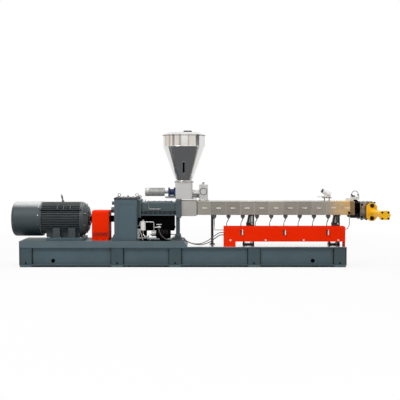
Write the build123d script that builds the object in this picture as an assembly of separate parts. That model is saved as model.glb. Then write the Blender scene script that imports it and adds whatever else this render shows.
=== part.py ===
from build123d import *
import os
from math import atan2, cos, degrees, radians, sin, sqrt, tan

# Twin-screw pelletizing machine on its base frame, in millimetres.
# +X runs along the screws from motor to outlet, +Y to the rear side, +Z up.
# The origin is on the floor, midway between the outer anchor holes of the base.

# Overall: the screws' height, and the left face of the feed barrel as the place that all lengths start from
screw_axis_height = 1000.0
feed_left = -35.0
overrun = 20.0
seat_gap = 0.3

# Base frame
base_length = 5640.0
base_width = 750.0
foot_thickness = 30.0
foot_length = 200.0
foot_depth = 120.0
beam_height = 318.0
flange_thickness = 16.0
flange_width = 110.0
side_plate_thickness = 12.0
side_plate_recess = 62.0
post_recess = 14.0
post_wall = 10.0
notch_width = 36.0
notch_height = 44.0
anchor_radius = 12.0
anchor_inset = 50.0
lifting_radius = 35.0
lifting_height = 106.0
lifting_place_share = 0.398
cross_beam_thickness = 60.0
foot_place_shares = (-0.48, -0.201, -0.0236, 0.2174, 0.48)

# Raised deck under motor and gearbox, and the plate under the barrel
deck_height = 100.0
deck_reach = 112.0
deck_end_slope_run = 65.0
deck_plate_thickness = 20.0
deck_wall = 12.0
barrel_deck_thickness = 6.0
barrel_deck_inset = 8.0

# Main motor
motor_frame_length = 718.0
motor_shaft_height = 315.0
sole_plate_thickness = 52.0
sole_plate_inset = 117.0
sole_plate_reach = 39.0
sole_plate_half_width = 292.0
sole_plate_edge = 6.0
motor_core_radius = 262.0
motor_fin_height = 36.0
motor_fin_thickness = 7.0
motor_fin_count = 44
motor_fin_root = 6.0
motor_bottom_clear_angle = 52.0
motor_ring_length = 26.0
motor_foot_length = 120.0
motor_foot_left_shares = (0.3244, 0.6964)
motor_foot_outer = 284.0
motor_foot_inner = 150.0
motor_foot_height = 170.0
ledge_rise_share = 0.59
ledge_thickness = 9.0
ledge_inset = 12.0
gusset_thickness = 14.0
gusset_height = 46.0
gusset_depth = 34.0
gusset_place_shares = (0.432, 0.5838, 0.7454)
gland_radius = 22.0
gland_height = 26.0
gland_place_share = 0.508
shield_length = 134.0
shield_rim_inset = 12.0
shield_rim_length = 30.0
shield_nose_radius = 200.0
shield_hub_radius = 120.0
shield_hub_length = 22.0
fan_cover_length = 495.0
fan_cover_step = 5.0
fan_cover_wall = 4.0
fan_cover_round = 58.0
grille_ring_shares = (0.26, 0.39, 0.52, 0.65)
grille_slot_width = 16.0
grille_spoke_count = 6
grille_spoke_width = 22.0
fan_radius = 235.0
fan_hub_radius = 70.0
fan_hub_length = 90.0
fan_hub_offset = 103.0
fan_blade_count = 8
fan_blade_thickness = 6.0

# Shaft and coupling between motor and gearbox
shaft_radius = 42.0
shaft_clearance = 0.1
shaft_tail = 10.0
shaft_socket = 20.0
hub_radius = 96.0
hub_gap = 23.0
hub_inset = 32.0
disc_rise = 26.0
disc_length = 40.0
sleeve_radius = 57.0

# Coupling guard
guard_length = 297.0
guard_shield_gap = 46.0
guard_gear_gap = 103.0
guard_half_depth = 200.0
guard_height = 514.0
guard_wall = 4.0
guard_chamfer = 26.0
guard_flange = 22.0
louvre_count = 9
louvre_width = 9.0
louvre_height = 62.0
louvre_rise = 76.0
louvre_margin = 32.0
louvre_slant = 22.0

# Reduction gearbox
gear_length = 396.0
gear_half_depth = 300.0
gear_foot_thickness = 36.0
gear_foot_reach = 48.0
gear_flare_height = 92.0
gear_top_rise = 168.0
gear_edge_round = 18.0
gear_panel_rise = 14.0
gear_panel_inset = 84.0
gear_panel_drop = 92.0
gear_panel_round = 60.0
gear_cover_thickness = 22.0
gear_cover_overhang = 8.0
upper_cap_radius = 40.0
upper_cap_length = 68.0
upper_cap_rise = 90.0
lower_cap_radius = 60.0
lower_cap_length = 79.0
lower_cap_drop = 32.0
cap_flange_grow = 9.0
cap_flange_length = 22.0
input_cap_radius = 88.0
input_cap_length = 18.0
lifting_eye_shank_radius = 11.0
lifting_eye_shank = 22.0
lifting_eye_ring_radius = 24.0
lifting_eye_bar_radius = 7.0
lifting_eye_shares = (0.154, 0.939)
breather_share = 0.54
breather_radius = 20.0
breather_height = 34.0

# Distribution gearbox between reduction gearbox and feed barrel
joint_flange_length = 60.0
joint_flange_half_height = 161.0
joint_flange_half_depth = 212.0
casing_length = 609.0
end_flange_length = 87.0
casing_top_rise = 112.0
casing_half_depth = 172.0
ledge_plate_drop = 28.0
ledge_plate_thickness = 12.0
casing_foot_drop = 120.0
casing_foot_thickness = 18.0
casing_lip = 20.0
casing_waist = 40.0
rib_thickness = 14.0
rib_place_shares = (0.06, 0.20, 0.34, 0.48, 0.62, 0.76, 0.90)
casing_round = 22.0
casing_cover_thickness = 10.0
casing_cover_left_inset = 88.0
casing_cover_right_inset = 68.0
casing_cover_half_depth = 120.0
oil_pipe_radius = 8.0
oil_pipe_left_inset = 138.0
oil_pipe_length = 205.0
oil_pipe_drop = 8.0
oil_pipe_hump = 22.0
oil_pipe_bend = 13.0
oil_pipe_standoff = 14.0

# Pedestal under the distribution gearbox
pedestal_offset = 29.0
pedestal_width = 66.0
pedestal_half_depth = 90.0
pedestal_foot_left_reach = 99.0
pedestal_foot_right_reach = 66.0
pedestal_foot_thickness = 36.0
pedestal_foot_half_depth = 125.0
pedestal_base_height = 70.0
pedestal_base_grow = 20.0

# Oil sump and lubrication set below the distribution gearbox
sump_left_inset = 4.0
sump_right_inset = 28.0
sump_front_reach = 110.0
sump_rear_reach = 150.0
sump_height = 268.0
sump_round = 20.0
plug_radius = 18.0
plug_length = 14.0
plug_rise = 62.0
lube_offset = 105.0
stand_inset = 21.0
stand_clearance = 6.0
stand_half_depth = 95.0
stand_thickness = 12.0
stand_back_thickness = 10.0
stand_back_half = 65.0
stand_back_offset = 60.0
filter_offset = 96.0
filter_radius = 46.0
filter_rise = 162.0
filter_height = 130.0
filter_round = 14.0
filter_head_radius = 34.0
filter_head_height = 34.0
filter_arm = 26.0
pump_axis_rise = 108.0
pump_length = 82.0
pump_radius = 46.0
pump_motor_offset = 229.0
pump_motor_length = 252.0
pump_motor_radius = 82.0
pump_motor_round = 24.0
pump_foot_length = 130.0
pump_foot_inset = 61.0
pump_foot_half_depth = 62.0
pump_gland_radius = 14.0
pump_gland_length = 6.0
pump_gland_drop = 12.0
lube_pipe_radius = 9.0
lube_pipe_bend = 26.0
gear_port_rise = 252.0
valve_offset = 52.0
valve_clearance = 6.0
valve_body_radius = 20.0
valve_body_length = 52.0
valve_stem_radius = 6.0
valve_stem_height = 30.0
valve_bar_length = 92.0
valve_bar_radius = 7.0
valve_spout_length = 23.0
valve_spout_radius = 11.0

# Feed barrel and the heated barrel sections
feed_length = 271.0
feed_top_rise = 137.0
feed_drop = 132.0
feed_half_depth = 152.0
feed_edge = 6.0
spacer_length = 12.0
section_count = 11
section_length = 250.0
cover_rise = 130.0
cover_drop = 112.0
cover_half_depth = 148.0
cover_gap = 3.0
cover_edge = 5.0
core_half = 100.0
core_neck_half = 110.0
slot_length = 84.0
slot_height = 16.0
slot_depth = 10.0
lip_reach = 9.0
lip_thickness = 5.0
drain_block_length = 72.0
drain_block_height = 46.0
drain_block_depth = 60.0
drain_block_row = -60.0
drain_block_offset = 48.0
drain_block_edge = 8.0
drain_tube_radius = 8.0

# Barrel stands
stand_place_shares = (0.3274, 0.8751)
stand_foot_length = 200.0
stand_foot_half_depth = 70.0
stand_foot_height = 26.0
stand_head_length = 104.0
stand_head_height = 22.0
stand_head_half_depth = 96.0
stand_leg_width = 30.0
stand_leg_half_depth = 44.0
stand_rib_width = 14.0
post_place_share = 0.096
post_radius = 23.0
post_row = 95.0
post_foot_radius = 48.0
post_foot_height = 14.0

# Red trough that covers the cooling pipes
trough_offset = 459.0
trough_length = 2091.0
trough_front_inset = 30.0
trough_clearance = 8.0
trough_leg_height = 86.0
trough_height = 256.0
trough_round = 8.0
trough_leg_width = 202.0
trough_leg_thickness = 5.0
trough_leg_inset = 5.0
handle_place_shares = (0.1521, 0.5045, 0.8584)
handle_half_length = 48.0
handle_rise = 156.0
handle_reach = 30.0
handle_radius = 6.5

# Feeder
feeder_base_thickness = 29.0
feeder_base_inset = 9.0
feeder_base_half_depth = 152.0
feeder_offset = 47.0
feeder_half = 150.0
feeder_round = 42.0
feeder_height = 280.0
feeder_flange_radius = 160.0
feeder_flange_thickness = 14.0
gear_unit_length = 124.0
gear_unit_flange = 28.0
gear_unit_flange_half = 78.0
gear_unit_radius = 54.0
gear_unit_foot_height = 16.0
gear_unit_edge = 10.0
feeder_coupling_radius = 30.0
feeder_coupling_length = 66.0
feeder_motor_length = 342.0
feeder_motor_radius = 66.0
feeder_motor_fin = 7.0
feeder_motor_fin_count = 20
feeder_motor_fin_thickness = 4.0
feeder_motor_cap = 80.0
feeder_motor_round = 18.0
bracket_reach = 60.0
bracket_lift = 10.0
bracket_height = 32.0
bracket_half_depth = 70.0
bracket_wall = 12.0
outlet_rise = 86.0
outlet_length = 119.0
outlet_radius = 68.0
outlet_flange_radius = 76.0
outlet_flange_length = 12.0
box_length = 152.0
box_half_depth = 76.0
box_height = 287.0
box_round = 16.0
box_base_grow = 8.0
box_base_height = 26.0
box_port_radius = 54.0
box_port_depth = 10.0
box_port_rise = 166.0
knob_radius = 22.0
knob_height = 22.0

# Hopper and lid
hopper_radius = 365.0
hopper_neck_radius = 140.0
hopper_wall = 4.0
hopper_neck_rise = 24.0
hopper_cone_height = 602.0
hopper_cylinder_height = 198.0
hopper_flange_thickness = 14.0
sight_bottom_share = 0.23
sight_top_share = 0.54
sight_width = 34.0
sight_thickness = 8.0
lid_rise = 44.0
lid_wall = 5.0
lid_slope = 84.0
lid_skirt = 22.0
lid_gap = 3.0
lid_seat = 18.0
lid_handle_place = 66.0
lid_handle_length = 150.0
lid_handle_radius = 11.0
lid_handle_bend = 13.0
lid_handle_rise = 36.0

# Vent on the barrel
vent_place_share = 0.8298
vent_base_length = 150.0
vent_base_half_depth = 60.0
vent_base_thickness = 14.0
vent_leg_half = 42.0
vent_leg_radius = 9.0
vent_leg_height = 48.0
vent_neck_radius = 46.0
vent_dome_radius = 44.0
vent_dome_length = 150.0
vent_tilt = 27.0
vent_cap_radius = 30.0
vent_cap_length = 26.0
vent_nozzle_radius = 13.0
vent_nozzle_length = 96.0

# Outlet end: adapter, screen changer and its hydraulic cylinder
adapter_length = 84.0
adapter_radius = 152.0
adapter_edge = 26.0
changer_length = 250.0
changer_half_height = 150.0
changer_drop = 35.0
changer_half_depth = 186.0
changer_edge = 14.0
changer_rail_half_height = 92.0
changer_rail_length = 60.0
changer_rail_depth = 50.0
outlet_bore_radius = 31.0
outlet_bore_depth = 120.0
die_bolt_circle = 190.0
die_bolt_count = 8
die_bolt_radius = 8.75
die_bolt_depth = 42.0
yoke_offset = 184.0
yoke_thickness = 64.0
yoke_half_width = 88.0
yoke_half_height = 155.0
yoke_corner = 55.0
yoke_pillar_radius = 26.0
yoke_pillar_rise = 100.0
yoke_drop = 50.0
cylinder_radius = 53.0
cylinder_length = 865.0
cylinder_collar_radius = 68.0
cylinder_collar_length = 44.0
end_cap_half = 70.0
end_cap_length = 118.0
end_cap_edge = 12.0
port_radius = 16.0
port_length = 24.0
terminal_inset = 48.0
terminal_half_depth = 42.0
terminal_height = 76.0
terminal_shelf_reach = 96.0
terminal_plug_length = 66.0
terminal_plug_height = 24.0
terminal_socket_offset = 80.0
terminal_socket_radius = 16.0
terminal_socket_row = -20.0
junction_inset = 136.0
junction_length = 67.0
junction_height = 49.0
junction_half_depth = 30.0
junction_edge = 5.0
lead_plug_half = 15.0
lead_plug_height = 44.0
lead_plug_depth = 31.0
lead_plug_inset = 101.0
lead_plug_drop = 94.0

# Free hoses and leads: diameters, and the points of each route
pump_hose_diameter = 16.0
pump_cable_diameter = 14.0
end_lead_diameter = 12.0
sensor_lead_diameter = 10.0
pump_hose_route = [
    (-414, -238, 676), (-414, -270, 676), (-414, -302, 667), (-411, -327, 644), (-403, -340, 610),
    (-384, -345, 566), (-350, -346, 522), (-296, -346, 486), (-222, -344, 466), (-130, -337, 462),
    (-36, -325, 470), (42, -309, 456), (114, -293, 418), (200, -276, 388), (296, -261, 378),
    (390, -248, 392), (474, -238, 428), (544, -230, 478), (600, -223, 522), (652, -220, 548),
    (707, -220, 548)]
pump_cable_route = [
    (-208, -215, 556), (-172, -215, 556), (-122, -214, 545), (-66, -211, 526), (-10, -207, 496),
    (44, -202, 452), (112, -196, 410), (198, -189, 386), (292, -182, 388), (382, -175, 414),
    (462, -169, 460),
    (534, -164, 516), (598, -161, 562), (650, -160, 584), (707, -160, 584)]
end_lead_route = [
    (2897, -164, 906), (2897, -164, 862), (2898, -170, 808), (2898, -181, 752), (2889, -193, 702),
    (2868, -204, 664), (2836, -210, 640), (2798, -210, 640)]
sensor_lead_route = [
    (2964, -20, 1230), (2964, -20, 1266.5), (2985.8, -20, 1296.5), (3021, -20, 1307.9),
    (3056.2, -20, 1296.5),
    (3078, -20, 1266.5), (3078, -20, 1230)]

# Levels worked out from the sizes above, from the floor up
beam_top = foot_thickness + beam_height
deck_top = beam_top + deck_height
barrel_deck_top = beam_top + barrel_deck_thickness
sole_top = deck_top + sole_plate_thickness
motor_axis_height = sole_top + motor_shaft_height
guard_top = deck_top + guard_height
gear_top = screw_axis_height + gear_top_rise
gear_panel_top = gear_top - gear_panel_drop
gear_cover_top = gear_top + gear_cover_thickness
gear_port_height = deck_top + gear_port_rise
casing_top = screw_axis_height + casing_top_rise
casing_foot = screw_axis_height - casing_foot_drop
sump_bottom = casing_foot - sump_height
stand_top = deck_top + stand_thickness
filter_bottom = stand_top + filter_rise
filter_top = filter_bottom + filter_height
pump_axis_height = stand_top + pump_axis_rise
valve_height = pump_axis_height + pump_motor_radius + valve_clearance + valve_body_radius
cover_top = screw_axis_height + cover_rise
cover_bottom = screw_axis_height - cover_drop
feed_top = screw_axis_height + feed_top_rise
feeder_base_top = feed_top + feeder_base_thickness
feeder_top = feeder_base_top + feeder_height
bracket_bottom = feeder_base_top + bracket_lift
bracket_top = bracket_bottom + bracket_height
drive_axis_height = bracket_top + gear_unit_flange_half
outlet_axis_height = feeder_base_top + outlet_rise
box_top = cover_top + box_height
box_port_height = cover_top + box_port_rise
hopper_base = feeder_top + feeder_flange_thickness
hopper_neck_height = hopper_base + hopper_neck_rise
hopper_shoulder_height = hopper_neck_height + hopper_cone_height
hopper_rim_height = hopper_shoulder_height + hopper_cylinder_height
sight_bottom = hopper_neck_height + sight_bottom_share * hopper_cone_height
sight_top = hopper_neck_height + sight_top_share * hopper_cone_height
lid_seat_height = hopper_rim_height + seat_gap
lid_top = hopper_rim_height + lid_rise
trough_bottom = barrel_deck_top + trough_leg_height
trough_top = trough_bottom + trough_height
handle_height = trough_bottom + handle_rise
changer_height = screw_axis_height - changer_drop
yoke_height = screw_axis_height - yoke_drop
terminal_top = cover_top + terminal_height

# Places along the machine, leftwards and rightwards from the feed barrel
half_length = base_length / 2
half_width = base_width / 2
foot_places = [share * base_length for share in foot_place_shares]
lifting_place = lifting_place_share * base_length
casing_right = feed_left - end_flange_length
casing_left = casing_right - casing_length
gear_right = casing_left - joint_flange_length
gear_left = gear_right - gear_length
guard_right = gear_left - guard_gear_gap
guard_left = guard_right - guard_length
shield_right = guard_left - guard_shield_gap
motor_right = shield_right - shield_length
motor_left = motor_right - motor_frame_length
fan_cover_left = motor_left - fan_cover_length
fan_hub_left = motor_left - fan_hub_offset - fan_hub_length
sole_plate_left = motor_left + sole_plate_inset
sole_plate_right = motor_right + sole_plate_reach
hub_left = shield_right + hub_gap
hub_right = guard_right - hub_inset
deck_end = feed_left + deck_reach
pedestal_place = casing_right + pedestal_offset
pedestal_foot_left = pedestal_place - pedestal_foot_left_reach
filter_place = gear_right + filter_offset
pump_motor_left = filter_place + pump_motor_offset
pump_motor_right = pump_motor_left + pump_motor_length
pump_left = pump_motor_left - pump_length
valve_place = pump_motor_left + valve_offset
feed_right = feed_left + feed_length
barrel_left = feed_right + spacer_length
barrel_length = section_count * section_length
barrel_right = barrel_left + barrel_length
feeder_place = feed_left + feeder_offset
gear_unit_left = feeder_place - feeder_half - gear_unit_length
box_left = feeder_place + feeder_half + outlet_length
box_right = box_left + box_length
trough_left = barrel_left + trough_offset
trough_right = trough_left + trough_length
vent_place = barrel_left + vent_place_share * barrel_length
changer_left = barrel_right + adapter_length
changer_right = changer_left + changer_length
yoke_place = changer_left + yoke_offset
lead_plug_place = barrel_right - lead_plug_inset

# Places across the machine and radii that follow from others
post_face = half_width - post_recess
side_plate_face = half_width - side_plate_recess
post_back = side_plate_face - side_plate_thickness
motor_fin_radius = motor_core_radius + motor_fin_height
shield_rim_radius = motor_fin_radius - shield_rim_inset
fan_cover_radius = motor_fin_radius + fan_cover_step
ledge_reach = motor_fin_radius - ledge_inset
disc_radius = hub_radius + disc_rise
lube_row = -(sump_front_reach + lube_offset)
trough_front = trough_front_inset - half_width
trough_rear = -(stand_foot_half_depth + trough_clearance)
yoke_back = -(changer_half_depth + changer_rail_depth)
yoke_front = yoke_back - yoke_thickness
lid_crown_radius = hopper_radius - lid_slope


def block(x0, x1, y0, y1, z0, z1):
    """A box between two corners."""
    return Pos((x0 + x1) / 2, (y0 + y1) / 2, (z0 + z1) / 2) * Box(x1 - x0, y1 - y0, z1 - z0)


def bar_x(x0, x1, y, z, radius):
    """A round bar along X."""
    return Pos((x0 + x1) / 2, y, z) * Rot(0, 90, 0) * Cylinder(radius, x1 - x0)


def bar_y(x, y0, y1, z, radius):
    """A round bar along Y."""
    return Pos(x, (y0 + y1) / 2, z) * Rot(90, 0, 0) * Cylinder(radius, y1 - y0)


def bar_z(x, y, z0, z1, radius):
    """A round bar along Z."""
    return Pos(x, y, (z0 + z1) / 2) * Cylinder(radius, z1 - z0)


def side_profile(points, y0, y1):
    """A closed outline in X and Z, drawn out along Y."""
    face = make_face(Polyline(*[(x, 0, z) for x, z in points], close=True))
    return Pos(0, y0, 0) * extrude(face, amount=y1 - y0, dir=(0, 1, 0))


def turned_z(points, x, y):
    """A closed outline in radius and Z, turned about a vertical line."""
    face = make_face(Polyline(*[(r, 0, z) for r, z in points], close=True))
    return Pos(x, y, 0) * revolve(face, Axis.Z)


def turned_x(points, y, z):
    """A closed outline in X and radius, turned about a line along X."""
    face = make_face(Polyline(*[(x, 0, r) for x, r in points], close=True))
    return Pos(0, y, z) * revolve(face, Axis.X)


def bent_tube(points, bend, radius):
    """A round tube along straight runs with one bend radius at the corners."""
    path = FilletPolyline(*points, radius=bend)
    return swept_round(path, radius)


def swept_round(path, radius):
    """A round section swept along a path."""
    return sweep(Plane(origin=path @ 0, z_dir=path % 0) * Circle(radius), path=path)


def cord_tube(name, points, diameter):
    """A free cord: runs joined by arcs as large as the runs allow."""
    spots = [Vector(*point) for point in points]
    radii = []
    for before, here, after in zip(spots, spots[1:], spots[2:]):
        turn = radians((here - before).get_angle(after - here))
        shorter = min((here - before).length, (after - here).length)
        radii.append(0.45 * shorter / tan(turn / 2))
    path = FilletPolyline(*spots, radius=radii)
    print(name, "length", round(path.length), "tightest radius in diameters",
          round(min(radii) / diameter, 1))
    return swept_round(path, diameter / 2)


def made_of(solids):
    """Several solids that share one node."""
    return Compound(children=list(solids))


def sides():
    """Front and rear of the machine as signs of Y."""
    return (-1, 1)


def across(sign, y0, y1):
    """A pair of Y limits on one side of the machine, in rising order."""
    return sorted((sign * y0, sign * y1))


def base_rails():
    """Top and bottom flanges of the two long beams."""
    rails = []
    for sign in sides():
        inner, outer = half_width - flange_width, half_width
        limits = across(sign, inner, outer)
        low = block(-half_length, half_length, *limits, foot_thickness, foot_thickness + flange_thickness)
        for place in foot_places:
            low -= bar_z(place, sign * (half_width - anchor_inset), 0, beam_top, anchor_radius)
        rails.append(low)
        rails.append(block(-half_length, half_length, *limits, beam_top - flange_thickness, beam_top))
    return made_of(rails)


def base_posts():
    """A hollow box post over every foot, with an access notch to the anchor."""
    posts = []
    low, high = foot_thickness + flange_thickness, beam_top - flange_thickness
    for sign in sides():
        for place in foot_places:
            x0, x1 = place - foot_length / 2, place + foot_length / 2
            post = block(x0, x1, *across(sign, post_back, post_face), low, high)
            post -= block(x0 + post_wall, x1 - post_wall,
                          *across(sign, post_back + post_wall, post_face - post_wall),
                          low - overrun, high + overrun)
            notch = side_profile([(place - notch_width / 2, low - overrun),
                                  (place + notch_width / 2, low - overrun),
                                  (place + notch_width / 4, low + notch_height),
                                  (place - notch_width / 4, low + notch_height)],
                                 *across(sign, post_face - 2 * post_wall, post_face + overrun))
            posts.append(post - notch)
    return made_of(posts)


def base_side_plates():
    """Recessed plates between the posts, with a lifting hole near each end."""
    plates = []
    low, high = foot_thickness + flange_thickness, beam_top - flange_thickness
    for sign in sides():
        limits = across(sign, side_plate_face - side_plate_thickness, side_plate_face)
        for left, right in zip(foot_places, foot_places[1:]):
            plate = block(left + foot_length / 2, right - foot_length / 2, *limits, low, high)
            for place in (-lifting_place, lifting_place):
                if left < place < right:
                    plate -= bar_y(place, -half_width, half_width, lifting_height, lifting_radius)
            plates.append(plate)
    return made_of(plates)


def base_cross_beams():
    """Cross beams from post to post."""
    low, high = foot_thickness + flange_thickness, beam_top - flange_thickness
    inner = half_width - flange_width
    beams = []
    for place in foot_places:
        x0, x1 = place - cross_beam_thickness / 2, place + cross_beam_thickness / 2
        beams.append(block(x0, x1, -post_back, post_back, low, high)
                     + block(x0, x1, -inner, inner, foot_thickness, beam_top))
    return made_of(beams)


def base_feet():
    """Foot pads with their anchor holes."""
    feet = []
    for sign in sides():
        for place in foot_places:
            pad = block(place - foot_length / 2, place + foot_length / 2,
                        *across(sign, half_width - foot_depth, half_width), 0, foot_thickness)
            feet.append(pad - bar_z(place, sign * (half_width - anchor_inset), -overrun, beam_top,
                                    anchor_radius))
    return made_of(feet)


def drive_deck():
    """Raised deck: a plate with skirts and a sloped right end, open below."""
    outline = [(-half_length, beam_top), (deck_end, beam_top), (deck_end - deck_end_slope_run, deck_top),
               (-half_length, deck_top)]
    deck = side_profile(outline, -half_width, half_width)
    inner_top = deck_top - deck_plate_thickness
    slope_share = (inner_top - beam_top) / deck_height
    hollow = [(-half_length + deck_wall, beam_top - overrun), (deck_end - deck_wall, beam_top - overrun),
              (deck_end - deck_wall, beam_top),
              (deck_end - deck_wall - slope_share * deck_end_slope_run, inner_top),
              (-half_length + deck_wall, inner_top)]
    return deck - side_profile(hollow, -half_width + deck_wall, half_width - deck_wall)


def barrel_deck():
    """Thin galvanised plate over the beams below the barrel."""
    return block(deck_end, half_length - barrel_deck_inset, -half_width + barrel_deck_inset,
                 half_width - barrel_deck_inset, beam_top, barrel_deck_top)


def motor_sole_plate():
    """Thick plate that lifts the motor to the gearbox input."""
    plate = block(sole_plate_left, sole_plate_right, -sole_plate_half_width, sole_plate_half_width,
                  deck_top, sole_top)
    return chamfer(plate.edges().group_by(Axis.Z)[-1], sole_plate_edge)


def motor_frame():
    """Finned cast frame with feet, a ledge with gussets and a cable gland."""
    core = bar_x(motor_left, motor_right, 0, motor_axis_height, motor_core_radius)
    extras = []
    for left in (motor_left, motor_right - motor_ring_length):
        extras.append(bar_x(left, left + motor_ring_length, 0, motor_axis_height, motor_fin_radius))
    step = 360 / motor_fin_count
    fin_depth = motor_fin_radius - motor_core_radius + motor_fin_root
    for number in range(motor_fin_count):
        angle = number * step + step / 2
        if abs(angle - 180) < motor_bottom_clear_angle:
            continue
        fin = Pos((motor_left + motor_right) / 2, 0, motor_fin_radius - fin_depth / 2)
        fin *= Box(motor_frame_length, motor_fin_thickness, fin_depth)
        extras.append(Pos(0, 0, motor_axis_height) * Rot(angle, 0, 0) * fin)
    for sign in sides():
        for share in motor_foot_left_shares:
            left = motor_left + share * motor_frame_length
            extras.append(block(left, left + motor_foot_length,
                                *across(sign, motor_foot_inner, motor_foot_outer),
                                sole_top, sole_top + motor_foot_height))
    ledge = motor_axis_height + ledge_rise_share * motor_fin_radius
    extras.append(block(motor_left, motor_right, -ledge_reach, -motor_foot_inner, ledge,
                        ledge + ledge_thickness))
    for share in gusset_place_shares:
        place = motor_left + share * motor_frame_length
        top = ledge + ledge_thickness + gusset_height
        outline = [(-ledge_reach, ledge), (-ledge_reach + gusset_depth, top), (-motor_foot_inner, top),
                   (-motor_foot_inner, ledge)]
        face = make_face(Polyline(*[(0, y, z) for y, z in outline], close=True))
        gusset = extrude(face, amount=gusset_thickness, dir=(1, 0, 0))
        extras.append(Pos(place - gusset_thickness / 2, 0, 0) * gusset)
    crown = motor_axis_height + motor_fin_radius
    gland_place = motor_left + gland_place_share * motor_frame_length
    extras.append(bar_z(gland_place, 0, motor_axis_height + motor_core_radius - motor_fin_root,
                        crown + gland_height,
                        gland_radius))
    frame = core + extras
    return frame - bar_x(motor_left - overrun, motor_right + overrun, 0, motor_axis_height,
                         shaft_radius + shaft_clearance)


def motor_end_shield():
    """Domed end shield on the drive end."""
    bore = shaft_radius + shaft_clearance
    end = shield_right
    outline = [(motor_right, bore), (motor_right, shield_rim_radius),
               (motor_right + shield_rim_length, shield_rim_radius),
               (end - shield_hub_length, shield_nose_radius),
               (end - shield_hub_length, shield_hub_radius), (end, shield_hub_radius), (end, bore)]
    return turned_x(outline, 0, motor_axis_height)


def motor_fan_cover():
    """Drawn sheet fan cover with ring slots for the intake air."""
    left = fan_cover_left
    shell = bar_x(left, motor_left, 0, motor_axis_height, fan_cover_radius)
    shell = fillet(shell.edges().group_by(Axis.X)[0], fan_cover_round)
    hollow = bar_x(left + fan_cover_wall, motor_left + overrun, 0, motor_axis_height,
                   fan_cover_radius - fan_cover_wall)
    hollow = fillet(hollow.edges().group_by(Axis.X)[0], fan_cover_round - fan_cover_wall)
    cover = shell - hollow
    spokes = [Pos(left, 0, motor_axis_height) * Rot(number * 180 / (grille_spoke_count / 2), 0, 0)
              * Box(overrun * 2, grille_spoke_width, 2 * fan_cover_radius)
              for number in range(int(grille_spoke_count / 2))]
    for share in grille_ring_shares:
        radius = share * fan_cover_radius
        slot = bar_x(left - overrun, left + 2 * fan_cover_wall, 0, motor_axis_height,
                     radius + grille_slot_width / 2)
        slot -= bar_x(left - overrun, left + 2 * fan_cover_wall, 0, motor_axis_height,
                      radius - grille_slot_width / 2)
        cover -= slot - spokes
    return cover


def motor_fan():
    """Cooling fan behind the intake slots."""
    hub = bar_x(fan_hub_left, fan_hub_left + fan_hub_length, 0, motor_axis_height, fan_hub_radius)
    blades = []
    for number in range(fan_blade_count):
        blade = Pos(fan_hub_left + fan_hub_length / 2, 0, fan_radius / 2) * Box(fan_hub_length,
                                                                                fan_blade_thickness,
                                                                                fan_radius)
        blades.append(Pos(0, 0, motor_axis_height) * Rot(number * 360 / fan_blade_count, 0, 0) * blade)
    fan = hub + blades
    return fan - bar_x(fan_hub_left - overrun, fan_hub_left + fan_hub_length + overrun, 0,
                       motor_axis_height,
                       shaft_radius)


def drive_shaft():
    """Motor shaft, both coupling halves and the sleeve to the gearbox input."""
    tail, end = fan_hub_left - shaft_tail, gear_left + shaft_socket
    sleeve_end = gear_left - input_cap_length - seat_gap
    disc_left = (hub_left + hub_right - disc_length) / 2
    outline = [(tail, 0), (tail, shaft_radius), (hub_left, shaft_radius), (hub_left, hub_radius),
               (disc_left, hub_radius), (disc_left, disc_radius), (disc_left + disc_length, disc_radius),
               (disc_left + disc_length, hub_radius), (hub_right, hub_radius), (hub_right, sleeve_radius),
               (sleeve_end, sleeve_radius), (sleeve_end, shaft_radius), (end, shaft_radius), (end, 0)]
    return turned_x(outline, 0, motor_axis_height)


def coupling_guard():
    """Folded guard over the coupling, open to the shafts, with slanted louvres."""
    def arch(margin, bottom):
        reach = guard_half_depth - margin
        top = guard_top - margin
        cut = guard_chamfer
        return [(-reach, bottom), (reach, bottom), (reach, top - cut), (reach - cut, top),
                (-reach + cut, top),
                (-reach, top - cut)]

    def drawn(outline, x0, x1):
        face = make_face(Polyline(*[(0, y, z) for y, z in outline], close=True))
        return Pos(x0, 0, 0) * extrude(face, amount=x1 - x0, dir=(1, 0, 0))

    guard = drawn(arch(0, deck_top), guard_left, guard_right)
    guard -= drawn(arch(guard_wall, deck_top - overrun), guard_left - overrun, guard_right + overrun)
    for sign in sides():
        guard += block(guard_left, guard_right, *across(sign, guard_half_depth - guard_wall,
                                                        guard_half_depth + guard_flange),
                       deck_top, deck_top + guard_wall)
    span = guard_right - guard_left - 2 * louvre_margin
    low = deck_top + louvre_rise
    for number in range(louvre_count):
        x = guard_left + louvre_margin + span * number / (louvre_count - 1)
        slant = louvre_slant / 2
        outline = [(x - slant - louvre_width / 2, low), (x - slant + louvre_width / 2, low),
                   (x + slant + louvre_width / 2, low + louvre_height),
                   (x + slant - louvre_width / 2, low + louvre_height)]
        guard -= side_profile(outline, -half_width, half_width)
    return guard


def gearbox_housing():
    """Reduction gearbox casting with flared feet and a raised front and rear panel."""
    foot_left, foot_top = gear_left - gear_foot_reach, deck_top + gear_foot_thickness
    outline = [(foot_left, deck_top), (gear_right, deck_top), (gear_right, gear_top), (gear_left, gear_top),
               (gear_left, foot_top + gear_flare_height), (foot_left, foot_top)]
    body = side_profile(outline, -gear_half_depth, gear_half_depth)
    body = fillet(body.edges().filter_by(Axis.Z).group_by(Axis.X)[-1], gear_edge_round)
    for sign in sides():
        panel = block(gear_left + gear_panel_inset, gear_right - gear_edge_round,
                      *across(sign, gear_half_depth, gear_half_depth + gear_panel_rise), deck_top,
                      gear_panel_top)
        corner = panel.edges().filter_by(Axis.Y).group_by(Axis.Z)[-1]
        body += fillet(corner, gear_panel_round)
    input_bore = shaft_radius + shaft_clearance
    return body - bar_x(gear_left - overrun, gear_left + shaft_socket + seat_gap, 0, motor_axis_height,
                        input_bore)


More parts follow.
